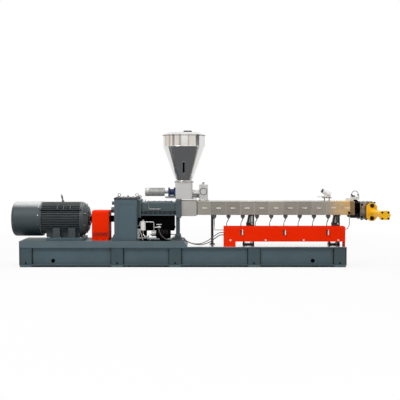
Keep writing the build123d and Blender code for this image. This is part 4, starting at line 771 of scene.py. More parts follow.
# %% Motor end shield
SHIELD_RING, BOSS_FOOT, BOSS_TOP = 0.262, 0.030, 0.066
shield_low, shield_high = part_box("motor_end_shield")
axis_z = (shield_low.z + shield_high.z) / 2
bosses = ring((shield_low.x + BOSS_FOOT, 0, axis_z), SHIELD_RING, 8, RIGHT, 1.0)
fit_bolts("shield_bosses", bosses, motor_paint, "motor_paint", washer_radius=0.019, washer_height=0.034,
          head_radius=0.016, head_height=0.003)
bolts = ring((shield_low.x + BOSS_TOP, 0, axis_z), SHIELD_RING, 8, RIGHT, 1.0)
fit_bolts("shield_bolts", bolts, machined_steel, "steel", washer_radius=0.013, washer_height=0.002, head_radius=0.010,
          head_height=0.009)

# %% Casing flanges and crown
CASING_SIDE, CASING_HALF, CASING_BOLT, CROWN_BOLT = 0.194, 0.12, 0.95, 0.62
CROWN_X, CROWN_Y, CROWN_HEIGHT = (-0.62, -0.21), (-0.105, 0.105), 0.283
low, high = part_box("distribution_housing")
bolts = []
for x, way in ((low.x + 0.060, RIGHT), (high.x - 0.087, LEFT)):
    for y in (-CASING_SIDE, CASING_SIDE):
        bolts += row((x, y, low.z + 0.155), (x, y, high.z - 0.03), 4, way, CASING_BOLT)
    bolts += row((x, -CASING_HALF, high.z - 0.024), (x, CASING_HALF, high.z - 0.024), 3, way, CASING_BOLT)
bolts += two_rows(CROWN_X, CROWN_Y, low.z + CROWN_HEIGHT, 5, CROWN_BOLT)
fit_bolts("casing_bolts", bolts, casing_paint, "gearbox_paint")

# %% [markdown]
# ## Zinc bolts
# Feet and flanges that are set up on site have bare zinc bolts: the motor's sole plate, the guard, the pedestal, the
# hopper's flange, the feeder, the barrel stands, the vent and the oil stand. All are one mesh, since all have one
# finish.

# %% Zinc bolts
PEDESTAL_FOOT, PEDESTAL_HALF, FEEDER_INSET = 0.036, 0.10, 0.026
STAND_FEET = ((1.0485, 1.2485), (2.5545, 2.7545))
STAND_BOLT_ROWS, STAND_FOOT_TOP = (-0.056, 0.056), 0.380
bolts = edge_bolts("motor_sole_plate", 0.05, 0.045, 4, 1.3)
bolts += edge_bolts("coupling_guard", 0.04, 0.011, 3, 0.55, lift=0.004)
bolts += ring((shield_high.x, 0, axis_z), 0.098, 6, RIGHT, 0.7)
low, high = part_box("gearbox_pedestal")
for x in (low.x + 0.024, high.x - 0.02):
    foot_z = low.z + PEDESTAL_FOOT
    bolts += row((x, -PEDESTAL_HALF, foot_z), (x, PEDESTAL_HALF, foot_z), 2, UP, 1.0)
low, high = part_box("hopper")
bolts += ring(((low.x + high.x) / 2, 0.0, low.z + 0.014), 0.152, 12, UP, 0.55)
low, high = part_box("feeder_base")
feeder_x = high.x - FEEDER_INSET
bolts += row((feeder_x, low.y + 0.03, high.z), (feeder_x, high.y - 0.03, high.z), 3, UP, 0.8)
for left, right in STAND_FEET:
    bolts += two_rows((left + 0.06, right - 0.06), STAND_BOLT_ROWS, STAND_FOOT_TOP, 2, 0.95)
bolts += edge_bolts("vent_port", 0.016, 0.016, 2, 0.55)
bolts += edge_bolts("lube_stand", 0.03, 0.02, 4, 0.6, lift=0.012)
fit_bolts("zinc_bolts", bolts, zinc, "steel")

# %% [markdown]
# ## Dark bolts on the outlet end
# The screen changer, the yoke plate and the cylinder's cap work hot and under pressure, so they have large bolts of
# black oxide. The same bolts hold the feeder's base and close its end box.

# %% Dark bolts
CHANGER_FACE, CHANGER_ROWS, YOKE_REACH, CAP_REACH = 0.186, (-0.15, 0.15), 0.110, 0.049
low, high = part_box("screen_changer")
bolts = []
for z in (low.z + 0.045, high.z - 0.045):
    bolts += row((low.x + 0.03, -CHANGER_FACE, z), (high.x - 0.03, -CHANGER_FACE, z), 2, FRONT, 1.5)
bolts += [((place[0], CHANGER_FACE, place[2]), REAR, size) for place, _, size in bolts]
bolts += two_rows((low.x + 0.05, high.x - 0.05), CHANGER_ROWS, high.z, 3, 0.6)
bolts += two_rows((low.x + 0.035, low.x + 0.115), CHANGER_ROWS, low.z, 2, 1.5, DOWN)
low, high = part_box("changer_yoke")
yoke_x, yoke_z = (low.x + high.x) / 2, (low.z + high.z) / 2
bolts += [((yoke_x, low.y, yoke_z + s * YOKE_REACH), FRONT, 2.5) for s in (-1, 1)]
low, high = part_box("cylinder_end_cap")
bolts += [((yoke_x + sx * CAP_REACH, low.y, yoke_z + sz * CAP_REACH), FRONT, 1.15) for sx in (-1, 1) for sz in (-1, 1)]
low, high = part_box("feeder_base")
bolts += [((x, low.y + 0.018, high.z), UP, 0.9) for x in (low.x + 0.018, high.x - 0.060)]
low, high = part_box("feeder_outlet_box")
bolts.append((((low.x + high.x) / 2, 0, high.z), UP, 1.5))
fit_bolts("dark_bolts", bolts, black_oxide, "dark_paint")

# %% [markdown]
# ## Screws on sheet pieces
# Thin sheet is held by small round heads: white caps along the foot of the trough, four screws on each barrel cover
# and a ring of screws on the motor's fan cover. The bolt tree makes them too, with more sides to the head.

# %% Screws on sheet pieces
TROUGH_SCREWS = (0.054, 0.344, 0.658, 0.943)
COVER_PITCH, COVER_FACE = 0.250, 0.148
FAN_COVER_R, FAN_SCREW_ANGLES = 0.303, (-75, -45, -15, 15, 45, 75, 105, 255)
low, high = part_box("pipe_trough")
caps = [((low.x + share * (high.x - low.x), low.y, low.z + 0.026), FRONT, 1.05) for share in TROUGH_SCREWS]
fit_bolts("trough_screws", caps, white_plastic, "white_plastic", sides=14)
screws = []
low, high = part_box("barrel_covers")
for number in range(COVER_COUNT):
    left = low.x + number * COVER_PITCH
    for y, way in ((-COVER_FACE, FRONT), (COVER_FACE, REAR)):
        for z in (low.z + 0.020, high.z - 0.020):
            screws += row((left + 0.016, y, z), (left + COVER_PITCH - 0.019, y, z), 2, way, 0.42)
low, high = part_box("motor_fan_cover")
for angle in FAN_SCREW_ANGLES:
    a = math.radians(angle)
    way = (0.0, -math.sin(a), math.cos(a))
    screws.append(((high.x - 0.025, way[1] * FAN_COVER_R, axis_z + way[2] * FAN_COVER_R), way, 0.62))
fit_bolts("sheet_screws", screws, zinc, "polished", sides=12, head_height=0.005)

# %% [markdown]
# ## Round bars along a path
# Weld beads, gaskets, tie rods, pipes and rings are all round bars along a line. A second tree turns the edges of a
# mesh into curves and sweeps a circle along them, so one helper makes them all from lists of points.


# %% Bar tree
def make_bar_tree():
    """A round bar along every chain of edges."""
    tree, given, out = start_tree("round_bars", (("Radius", 0.005),), (("Sides", 10),))
    link = tree.links.new
    lines = tree.nodes.new("GeometryNodeMeshToCurve")
    profile = tree.nodes.new("GeometryNodeCurvePrimitiveCircle")
    swept = tree.nodes.new("GeometryNodeCurveToMesh")
    swept.inputs["Fill Caps"].default_value = True
    link(given.outputs["Geometry"], lines.inputs["Mesh"])
    link(given.outputs["Radius"], profile.inputs["Radius"])
    link(given.outputs["Sides"], profile.inputs["Resolution"])
    link(lines.outputs["Curve"], swept.inputs["Curve"])
    link(profile.outputs["Curve"], swept.inputs["Profile Curve"])
    end_tree(tree, given, out, swept.outputs["Mesh"])
    return tree


bar_tree = make_bar_tree()


def lay_bars(name, paths, radius, finish, body="machine", sides=10):
    """Round bars along paths; a path is (points, closed)."""
    points, edges = [], []
    for path, closed in paths:
        first = len(points)
        points += [tuple(point) for point in path]
        edges += [(first + i, first + i + 1) for i in range(len(path) - 1)]
        if closed:
            edges.append((len(points) - 1, first))
    lines = bpy.data.meshes.new(f"{name}_paths")
    lines.from_pydata(points, edges, [])
    made = grow(name, lines, bar_tree, radius=radius, sides=sides, finish=finish)
    made.shade_smooth()
    mount(name, made, body)
    print(name, len(paths), "bars", len(made.polygons), "faces")


def rectangle(u0, u1, v0, v1):
    """The four corners of a rectangle, in order."""
    return ((u0, v0), (u1, v0), (u1, v1), (u0, v1))


# %% [markdown]
# ## Hopper trim
# The hopper is rolled sheet, with a weld bead where the cone meets the cylinder and one at the neck, and a brown edge
# round the flange at its foot. A dark ring round the lid's skirt is painted shadow under the lid, and rides on the lid
# and lifts off with it. The sight glass sits in a steel frame on the cone's slant. All follow from the hopper's own
# sizes.

# %% Painted rim shadow, beads and flange edge
CYLINDER_HEIGHT, FLANGE_HEIGHT, FLANGE_R, NECK_R = 0.198, 0.024, 0.168, 0.140
low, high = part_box("hopper")
hopper_x, hopper_r = (low.x + high.x) / 2, (high.x - low.x) / 2
shoulder_z, neck_z = high.z - CYLINDER_HEIGHT, low.z + FLANGE_HEIGHT
lid_low, lid_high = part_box("hopper_lid")
lid_r = (lid_high.x - lid_low.x) / 2
# A dark ring at the foot of the lid's skirt: the lid's painted shadow on the rim.
rim_shadow = circle((hopper_x, 0, lid_low.z + 0.013), lid_r - 0.002, 2, 72)
lay_bars("lid_rim_shadow", [(rim_shadow, True)], 0.006, hose_rubber_and_shadow, body="lid")
beads = [circle((hopper_x, 0, shoulder_z), hopper_r - 0.001, 2, 72),
         circle((hopper_x, 0, neck_z + 0.003), NECK_R + 0.002, 2, 56)]
lay_bars("hopper_beads", [(bead, True) for bead in beads], 0.005, polished_steel)
flange = circle((hopper_x, 0, low.z + 0.007), FLANGE_R, 2, 56)
lay_bars("hopper_flange_edge", [(flange, True)], 0.0055, brown_steel)

# %% Frame of the sight glass
FRAME_CORNER, FRAME_SIDE, FRAME_END, FRAME_LIFT = 0.018, 0.006, 0.012, 0.004
CORNER_STEPS, STEP_DEGREES = 5, 22.5
low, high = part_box("hopper_sight_glass")
slope = (hopper_r - NECK_R) / (shoulder_z - neck_z)
frame_points = []
for corner_x, corner_z, start in ((1, 1, 0), (-1, 1, 90), (-1, -1, 180), (1, -1, 270)):
    for step in range(CORNER_STEPS):
        a = math.radians(start + step * STEP_DEGREES)
        x = hopper_x + corner_x * FRAME_SIDE + FRAME_CORNER * math.cos(a)
        z = (low.z + high.z) / 2 + corner_z * ((high.z - low.z) / 2 - FRAME_END) + FRAME_CORNER * math.sin(a)
        frame_points.append((x, -(NECK_R + (z - neck_z) * slope) - FRAME_LIFT, z))
lay_bars("sight_frame", [(frame_points, True)], 0.003, machined_steel)

# %% [markdown]
# ## Outlet end, motor ring and port
# Four tie rods hold the outlet block to the barrel, and a lifting ring stands edge-on and leaning on the motor. The
# end box of the feeder has a zinc rim round its foot and a round port with two rubber rings.

# %% Tie rods
ROD_ROWS = [(y, z) for y in (-0.130, 0.130) for z in (0.900, 1.100)]
low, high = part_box("screen_changer")
rod_ends = (low.x - 0.088, high.x + 0.030)
rods = [([(x, y, z) for x in rod_ends], False) for y, z in ROD_ROWS]
lay_bars("tie_rods", rods, 0.010, black_oxide, sides=14)
nuts = [((x, y, z), way, 1.5) for y, z in ROD_ROWS for x, way in ((high.x, RIGHT), (low.x, LEFT))]
fit_bolts("tie_nuts", nuts, black_oxide, "dark_paint")

# %% Lifting ring of the motor
RING_SHARE, RING_LEAN, RING_HEIGHT, RING_R, SHANK = 0.508, math.radians(-14), 0.062, 0.040, 0.024
low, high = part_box("motor_frame")
ring_foot = Vector((low.x + RING_SHARE * (high.x - low.x), 0, high.z - 0.006))
lean = Matrix.Rotation(RING_LEAN, 4, "Y")
ring_points = [ring_foot + lean @ Vector(point) for point in circle((0, 0, RING_HEIGHT), RING_R, 0, 28)]
shank = [ring_foot, ring_foot + lean @ Vector((0, 0, SHANK))]
lay_bars("motor_lifting_ring", [(ring_points, True), (shank, False)], 0.0095, cast_iron, sides=12)

# %% Rim and port of the feeder's end box
PORT_FACE, PORT_Z, PORT_OUTER, PORT_INNER = -0.077, 1.296, 0.057, 0.038
low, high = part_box("feeder_outlet_box")
box_foot = [(x, y, low.z + 0.011) for x, y in rectangle(low.x, high.x, low.y, high.y)]
lay_bars("box_foot_rim", [(box_foot, True)], 0.009, zinc, sides=12)
port = ((low.x + high.x) / 2, PORT_FACE, PORT_Z)
port_rings = [(circle(port, PORT_OUTER, 1, 40), True), (circle(port, PORT_INNER, 1, 32), True)]
lay_bars("port_ring", port_rings, 0.0075, dark_rubber_and_painted_shadow)

# %% [markdown]
# ## Lips, gaskets and seams of the barrel
# Each barrel cover is lifted by a slot with a rolled lip, front and rear. The lips are bars of pale bright steel on the
# slot's edge. Dark gaskets show as thin lines where barrel, feeder base and feed barrel meet their neighbours, and a
# fine steel seam shows between two covers.

# %% Slot lips
LIP_HALF = 0.041
LIP_ROWS = ((-0.1565, 1.0110), (-0.1445, 1.0005), (0.1565, 1.0110), (0.1445, 1.0005))
cover_low, cover_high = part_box("barrel_covers")
lips = []
for number in range(COVER_COUNT):
    middle = cover_low.x + (number + 0.5) * COVER_PITCH - 0.0015
    lips += [([(middle - LIP_HALF, y, z), (middle + LIP_HALF, y, z)], False) for y, z in LIP_ROWS]
lay_bars("slot_lips", lips, 0.0056, bright_steel, sides=8)

# %% Gaskets and cover seams
GASKET_Y, GASKET_LOW, GASKET_HIGH, SEAM_Y = 0.1475, 0.894, 1.1245, 0.1468
gasket = [(cover_low.x - 0.006, y, z) for y, z in rectangle(-GASKET_Y, GASKET_Y, GASKET_LOW, GASKET_HIGH)]
lay_bars("barrel_gasket", [(gasket, True)], 0.0085, dark_rubber_and_painted_shadow, sides=8)
low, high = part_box("feeder_base")
gasket = [(x, y, low.z + 0.003) for x, y in rectangle(low.x, high.x, low.y, high.y)]
lay_bars("feed_gasket", [(gasket, True)], 0.005, dark_rubber_and_painted_shadow, sides=8)
low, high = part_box("feed_barrel")
gasket = [(low.x, y, z) for y, z in rectangle(low.y, high.y, low.z, high.z)]
lay_bars("casing_gasket", [(gasket, True)], 0.006, dark_rubber_and_painted_shadow, sides=8)
thin_bar_paths = []
for number in range(2, COVER_COUNT):
    x = cover_low.x + number * COVER_PITCH
    thin_bar_paths += [([(x, y, cover_low.z + 0.006), (x, y, cover_high.z - 0.006)], False) for y in (-SEAM_Y, SEAM_Y)]
lay_bars("cover_seams", thin_bar_paths, 0.0026, satin_steel, sides=8)

# %% [markdown]
# ## Nuts under the cooling blocks
# Below each cooling block of the barrel a collar and a hex nut join it to its pipe. The bolt tree gives both, with a
# tall washer for the collar.

# %% Drain nuts
DRAIN_INSET = 0.036
low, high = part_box("barrel_drain_blocks")
drain_xs = [low.x + DRAIN_INSET + number * COVER_PITCH for number in range(COVER_COUNT)]
drains = [((x, (low.y + high.y) / 2, low.z), DOWN, 1.0) for x in drain_xs if x < high.x]
fit_bolts("drain_nuts", drains, cast_iron, "steel", washer_radius=0.027, washer_height=0.015, head_radius=0.015,
          head_height=0.012)

# %% [markdown]
# ## Painted shadows at the posts and louvres, and handle grips
# Dark bars in the corner between each base post and its side plates are painted shadow, dark bars round the louvres
# of the guard are painted shade in the slots, and the handles of the trough have pale grips whose white is a painted
# highlight on the chrome. They are bars on the faces that carry them.

# %% Painted shadow lines at the posts
POST_SHARES, POST_HALF, SHADOW_LINE_R = (-0.48, -0.201, -0.0236, 0.2174, 0.48), 0.100, 0.011
post_low, post_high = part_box("base_posts")
plate_low, plate_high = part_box("base_side_plates")
rail_low, rail_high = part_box("base_rails")
plate_rows = (plate_low.y - 0.004, plate_high.y + 0.004)
end_rows = (post_low.y + 0.006, post_high.y - 0.006)
thin_bar_paths = []
for share in POST_SHARES:
    for side in (-1, 1):
        x = share * (rail_high.x - rail_low.x) + side * (POST_HALF + 0.004)
        shadow_rows = plate_rows if plate_low.x < x < plate_high.x else end_rows
        thin_bar_paths += [([(x, y, post_low.z), (x, y, post_high.z)], False) for y in shadow_rows]
# Dark bars at the post corners: painted shadow.
lay_bars("post_shadow_lines", thin_bar_paths, SHADOW_LINE_R, dark_rubber_and_painted_shadow, sides=12)

# %% Painted shade round the louvres
LOUVRE_COUNT, LOUVRE_INSET, LOUVRE_FACE = 9, 0.032, 0.2005
LOUVRE_HALF, LOUVRE_SLANT, LOUVRE_LOW, LOUVRE_HIGH = 0.0045, 0.011, 0.076, 0.138
LOUVRE_CORNERS = ((-1, -1, LOUVRE_LOW), (-1, 1, LOUVRE_LOW), (1, 1, LOUVRE_HIGH), (1, -1, LOUVRE_HIGH))
low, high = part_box("coupling_guard")
louvre_shades = []
for number in range(LOUVRE_COUNT):
    x = low.x + LOUVRE_INSET + (high.x - low.x - 2 * LOUVRE_INSET) * number / (LOUVRE_COUNT - 1)
    for y in (-LOUVRE_FACE, LOUVRE_FACE):
        louvre_shades.append(([(x + slant * LOUVRE_SLANT + half * LOUVRE_HALF, y, low.z + height)
                       for slant, half, height in LOUVRE_CORNERS], True))
# Dark bars round each louvre: painted shade in the slots.
lay_bars("louvre_shade_lines", louvre_shades, 0.003, dark_rubber_and_painted_shadow, sides=6)

# %% Handle grips with a painted highlight
HANDLE_SHARES, GRIP_INSET, GRIP_END = (0.1521, 0.5045, 0.8584), 0.0065, 0.020
handle_low, handle_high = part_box("trough_handles")
trough_low, trough_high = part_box("pipe_trough")
handle_xs = [trough_low.x + share * (trough_high.x - trough_low.x) for share in HANDLE_SHARES]
grip_y, grip_ends = handle_low.y + GRIP_INSET, (handle_low.z + GRIP_END, handle_high.z - GRIP_END)
highlight_grips = [([(x, grip_y, z) for z in grip_ends], False) for x in handle_xs]
# The pale grips are a painted highlight on the chrome handles.
lay_bars("handle_highlight_grips", highlight_grips, 0.0105, white_plastic, sides=14)

# %% [markdown]
# ## Pipes of the oil set
# Rigid steel pipes join gearbox, filter and pump. A pipe is a line with rounded corners, swept with the bar tree, and
# each end has a hex nut, because a pipe that only touches a wall looks glued on.


# %% Oil pipes
def rounded_line(points, radius, steps=6):
    """A line whose corners are smooth arcs."""
    points = [Vector(point) for point in points]
    line = [points[0]]
    for before, corner, after in zip(points, points[1:], points[2:]):
        first = corner + (before - corner).normalized() * radius
        last = corner + (after - corner).normalized() * radius
        for step in range(steps + 1):
            t = step / steps
            line.append(first.lerp(corner, t).lerp(corner.lerp(last, t), t))
    return line + [points[-1]]


SUCTION_Z, DRAIN_Z, BEND_Z, RELIEF_Z, STAND_SHEET, PIPE_BEND = 0.492, 0.520, 0.560, 0.640, 0.012, 0.018
low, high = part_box("oil_filter")
filter_x, filter_foot, filter_top = (low.x + high.x) / 2, low.z + 0.004, high.z
low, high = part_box("lube_pump")
pump_x, pump_z, oil_row = low.x, (low.z + high.z) / 2, (low.y + high.y) / 2
stand_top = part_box("lube_stand")[0].z + STAND_SHEET
wall_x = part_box("gearbox_housing")[1].x
suction = [(wall_x, oil_row, SUCTION_Z), (pump_x - 0.062, oil_row, SUCTION_Z), (pump_x - 0.034, oil_row, pump_z),
           (pump_x, oil_row, pump_z)]
drain = [(filter_x, oil_row, filter_foot), (filter_x, oil_row, BEND_Z), (filter_x + 0.028, oil_row - 0.027, DRAIN_Z),
         (pump_x - 0.055, oil_row - 0.028, DRAIN_Z), (pump_x - 0.034, oil_row - 0.025, pump_z - 0.012),
         (pump_x, oil_row - 0.025, pump_z - 0.012)]
relief = [(wall_x, oil_row - 0.040, RELIEF_Z), (wall_x + 0.044, oil_row - 0.040, RELIEF_Z),
          (wall_x + 0.066, oil_row - 0.050, BEND_Z), (wall_x + 0.090, oil_row - 0.056, SUCTION_Z),
          (wall_x + 0.090, oil_row - 0.056, stand_top)]
pipes = [(rounded_line(pipe, PIPE_BEND), False) for pipe in (suction, drain, relief)]
lay_bars("oil_set_pipes", pipes, 0.008, zinc, sides=12)

# %% Pipe nuts and ribs of the pump motor
RIB_COUNT, RIB_START, RIB_PITCH, RIB_R = 8, 0.045, 0.022, 0.0815
pipe_nuts = [(suction[0], RIGHT, 1.2), (suction[-1], LEFT, 1.2), (drain[-1], LEFT, 1.1), (relief[0], RIGHT, 1.2),
             (relief[-1], UP, 1.2), (drain[0], DOWN, 1.3), ((filter_x, oil_row, filter_top), UP, 1.5)]
fit_bolts("pipe_nuts", pipe_nuts, zinc, "steel", head_height=0.014)
low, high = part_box("lube_pump_motor")
rib_xs = [low.x + RIB_START + RIB_PITCH * number for number in range(RIB_COUNT)]
ribs = [(circle((x, oil_row, pump_z), RIB_R, 0, 36), True) for x in rib_xs]
lay_bars("pump_motor_ribs", ribs, 0.004, black_oxide, sides=8)

# %% [markdown]
# ## Fittings on the casing and the outlet end
# A lifting eye and a filler plug stand on the casing, and black cable nuts close the two ends of the sensor lead on
# the terminal block.

# %% Fittings
EYE_INSET, EYE_HEIGHT, EYE_R, EYE_SHANK = 0.030, 0.040, 0.020, 0.022
PLUG_X, PLUG_FOOT, PLUG_TOP = -0.671, 1.108, 1.150
low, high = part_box("distribution_housing")
eye = Vector((low.x + EYE_INSET, 0, high.z))
eye_ring = circle(eye + Vector((0, 0, EYE_HEIGHT)), EYE_R, 1, 24)
eye_shank = [eye, eye + Vector((0, 0, EYE_SHANK))]
filler_plug = [(PLUG_X, 0, PLUG_FOOT), (PLUG_X, 0, PLUG_TOP)]
lay_bars("casing_fittings", [(eye_ring, True), (eye_shank, False), (filler_plug, False)], 0.0065, black_oxide)
cable_nuts = [(end, UP, 1.0) for end in (SENSOR_LEAD[0], SENSOR_LEAD[-1])]
fit_bolts("cable_nuts", cable_nuts, black_plastic, "black_plastic", washer_radius=0.0155, washer_height=0.010,
          head_radius=0.012, head_height=0.010)

# %% [markdown]
# ## Plates and sockets
# The last small parts are cut from sheet or turned. A plate is an outline with thickness, with or without a round
# hole, and a socket is a profile turned round an axis. The outlines are few and plain, so their points are written
# into a mesh, and Blender then turns all faces outwards.


# %% Plate with a round hole
def edge_reach(outline, centre, angle):
    """How far the outline is from a point inside it, in one direction."""
    away = (math.cos(angle), math.sin(angle))
    for (u0, v0), (u1, v1) in zip(outline, outline[1:] + outline[:1]):
        du, dv, wu, wv = u1 - u0, v1 - v0, u0 - centre[0], v0 - centre[1]
        cross = away[0] * dv - away[1] * du
        if abs(cross) > 1e-9:
            reach = (wu * dv - wv * du) / cross
            share = (wu * away[1] - wv * away[0]) / cross
            if reach > 0 and -1e-6 <= share <= 1 + 1e-6:
                return reach
    return 0.0


def holed_plate(outline, centre, radius, thickness, place, steps=48):
    """Points and faces of a plate with a round hole; place puts (u, v, w) in space."""
    corners = [math.atan2(v - centre[1], u - centre[0]) for u, v in outline]
    angles = sorted({round(a, 5) for a in corners + [math.pi * (2 * i / steps - 1) for i in range(steps)]})
    loops = []
    for w in (0.0, thickness):
        for hole in (False, True):
            reaches = [radius if hole else edge_reach(outline, centre, a) for a in angles]
            loops.append([place(centre[0] + r * math.cos(a), centre[1] + r * math.sin(a), w)
                          for r, a in zip(reaches, angles)])
    count = len(angles)
    faces = [tuple(loop * count + step % count for loop, step in ((a, i), (b, i), (b, i + 1), (a, i + 1)))
             for a, b in ((0, 1), (1, 3), (3, 2), (2, 0)) for i in range(count)]
    return [point for loop in loops for point in loop], faces


# %% Plain plates and turned sockets
def plain_plate(outline, thickness, place):
    """Points and faces of a plate with any outline."""
    count = len(outline)
    points = [place(u, v, w) for w in (0.0, thickness) for u, v in outline]
    faces = [tuple(range(count)), tuple(range(2 * count - 1, count - 1, -1))]
    faces += [(i, (i + 1) % count, count + (i + 1) % count, count + i) for i in range(count)]
    return points, faces


def upright_plate(outline, thickness, face_y):
    """A plate that faces the front at face_y."""
    return plain_plate(outline, thickness, lambda u, v, w: (u, face_y + w, v))


def plate_pair(outline, thickness, inner):
    """A plate at the front and one at the rear, whose inner faces are this far from the middle."""
    return [plain_plate(outline, thickness, lambda u, v, w, s=s: (u, s * (inner + w), v)) for s in (-1, 1)]


def cut_corners(u0, u1, v0, v1, cut):
    """A rectangle with its four corners cut off."""
    return [(u0 + cut, v0), (u1 - cut, v0), (u1, v0 + cut), (u1, v1 - cut), (u1 - cut, v1), (u0 + cut, v1),
            (u0, v1 - cut), (u0, v0 + cut)]


def turned_cup(profile, place, steps=28):
    """Points and faces of a closed profile of (radius, depth) turned round its axis."""
    angles = [2 * math.pi * s / steps for s in range(steps)]
    points = [place(radius * math.cos(a), radius * math.sin(a), depth) for radius, depth in profile for a in angles]
    count = len(profile)
    faces = [(a * steps + s, a * steps + (s + 1) % steps, b * steps + (s + 1) % steps, b * steps + s)
             for a in range(count) for b in ((a + 1) % count,) for s in range(steps)]
    return points, faces


def join_shapes(name, shapes, finish, body="machine"):
    """One piece from several shapes, with merged doubles and faces that point outwards."""
    work = bmesh.new()
    for points, faces in shapes:
        corners = [work.verts.new(point) for point in points]
        for face in faces:
            work.faces.new([corners[i] for i in face])
    bmesh.ops.remove_doubles(work, verts=work.verts, dist=1e-6)
    bmesh.ops.recalc_face_normals(work, faces=work.faces)
    mesh = bpy.data.meshes.new(name)
    work.to_mesh(mesh)
    work.free()
    mesh.materials.append(finish)
    mount(name, mesh, body)
    print(name, len(shapes), "shapes", len(mesh.polygons), "faces")


# %% [markdown]
# ## Guard plates and painted shade behind the holes
# End plates with a round hole for the shaft close the coupling guard. Black sheets behind its louvres are painted
# shade in the slots, and black cups behind the four lifting holes of the base are painted shade inside the holes.
# Without them one could look right through both.

# %% Guard plates, shade sheets and shade cups
GUARD_INSIDE, GUARD_CUT, GUARD_SHEET, MOTOR_HOLE, GEAR_HOLE = 0.1962, 0.026, 0.004, 0.108, 0.070
SHADE_SHEET_END, SHADE_SHEET_LOW, SHADE_SHEET_HIGH = 0.010, 0.055, 0.160
guard_low, guard_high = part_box("coupling_guard")
crown = guard_high.z - 0.0038
arch = [(-GUARD_INSIDE, guard_low.z), (GUARD_INSIDE, guard_low.z), (GUARD_INSIDE, crown - GUARD_CUT),
        (GUARD_INSIDE - GUARD_CUT, crown), (GUARD_CUT - GUARD_INSIDE, crown), (-GUARD_INSIDE, crown - GUARD_CUT)]
join_shapes("guard_end_plates", [
    holed_plate(arch, (0.0, axis_z), MOTOR_HOLE, GUARD_SHEET, lambda u, v, w: (guard_low.x + w, u, v)),
    holed_plate(arch, (0.0, axis_z), GEAR_HOLE, GUARD_SHEET, lambda u, v, w: (guard_high.x - w, u, v))],
    red_paint)
# Black sheets behind the louvres: painted shade in the slots.
shade_sheet = cut_corners(guard_low.x + SHADE_SHEET_END, guard_high.x - SHADE_SHEET_END, guard_low.z + SHADE_SHEET_LOW,
                     guard_low.z + SHADE_SHEET_HIGH, 0.006)
shade_sheets = [plain_plate(shade_sheet, 0.005, lambda u, v, w, s=s: (u, s * (GUARD_INSIDE - w), v)) for s in (-1, 1)]
join_shapes("guard_shade_sheets", shade_sheets, black_paint_and_shade)
# Black cups behind the lifting holes: painted shade inside the holes.
SHADE_CUP = [(0.0, 0.050), (0.0355, 0.050), (0.0355, 0.0), (0.044, 0.0), (0.044, 0.056), (0.0, 0.056)]
SHADE_CUP_X, SHADE_CUP_Y, SHADE_CUP_Z = 2.24472, 0.3012, 0.106
shade_cups = [turned_cup(SHADE_CUP, lambda u, v, w, x=x, s=s: (x + u, s * (SHADE_CUP_Y - w), SHADE_CUP_Z + v))
           for x in (-SHADE_CUP_X, SHADE_CUP_X) for s in (-1, 1)]
join_shapes("lifting_hole_shade_cups", shade_cups, black_paint_and_shade)

# %% [markdown]
# ## Handle shadows, foot webs and clamp rails
# A dark plate beside each handle of the trough is the handle's painted shadow. Upright webs stiffen the motor's feet
# under its frame, and a pair of dark rails clamps the outlet block to the last barrel section. All are plates, single
# or in pairs.

# %% Handle shadows, foot webs and clamp rails
# A dark plate left of each handle: the handle's painted shadow.
handle_shadows = [cut_corners(x - 0.034, x - 0.010, handle_low.z + 0.006, handle_high.z - 0.006, 0.006) for x in handle_xs]
join_shapes("handle_shadow_plates", [upright_plate(handle_shadow, 0.005, trough_low.y - 0.0045) for handle_shadow in handle_shadows],
            dark_rubber_and_painted_shadow)
WEB_Y, WEB_HEIGHT, WEB_SHEET = 0.160, 0.135, 0.014
motor_low, motor_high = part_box("motor_frame")
sole_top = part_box("motor_sole_plate")[1].z
web = cut_corners(motor_low.x + 0.100, motor_high.x - 0.030, sole_top - 0.0005, sole_top + WEB_HEIGHT, 0.020)
join_shapes("foot_webs", plate_pair(web, WEB_SHEET, WEB_Y), motor_paint)
RAIL_LOW, RAIL_TOP, RAIL_Y, RAIL_SHEET = 0.836, 0.882, 0.118, 0.022
changer_x, barrel_end, cover_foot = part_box("screen_changer")[0].x, cover_high.x, cover_low.z + 0.001
rail = [(barrel_end - 0.083, cover_foot), (barrel_end - 0.003, cover_foot), (barrel_end + 0.004, RAIL_TOP),
        (changer_x + 0.001, RAIL_TOP), (changer_x + 0.001, RAIL_LOW), (barrel_end - 0.070, RAIL_LOW),
        (barrel_end - 0.083, RAIL_LOW + 0.013)]
join_shapes("clamp_rails", plate_pair(rail, RAIL_SHEET, RAIL_Y), black_oxide)

# %% [markdown]
# ## Webs and plates of the barrel stands
# Each cast stand carries the barrel on a web whose pale finish is painted light on its front, and a dark plate with
# one bright bolt clamps the web at the front and at the rear. Both are placed from the stand's foot.

# %% Webs and plates of the barrel stands
STAND_WEB, STAND_WEB_LOW, STAND_WEB_TOP = 0.068, 0.745, 0.866
STAND_PLATE, STAND_PLATE_LOW, STAND_PLATE_TOP, STAND_PLATE_Y = 0.008, 0.684, 0.748, 0.0435
STAND_BOLT_X, STAND_BOLT_Y, STAND_BOLT_Z = 0.037, 0.0515, 0.726
lit_stand_webs, stand_plates, stand_bolts = [], [], []
for left, right in STAND_FEET:
    web = [(left + 0.088, STAND_WEB_LOW), (left + 0.111, STAND_WEB_TOP), (right - 0.052, STAND_WEB_TOP),
           (right - 0.052, STAND_WEB_LOW)]
    lit_stand_webs.append(upright_plate(web, STAND_WEB, -STAND_WEB / 2))
    plate = cut_corners(left + 0.062, right, STAND_PLATE_LOW, STAND_PLATE_TOP, 0.008)
    stand_plates += plate_pair(plate, STAND_PLATE, STAND_PLATE_Y)
    stand_bolts += [((right - STAND_BOLT_X, s * STAND_BOLT_Y, STAND_BOLT_Z), way, 1.0)
                    for s, way in ((-1, FRONT), (1, REAR))]
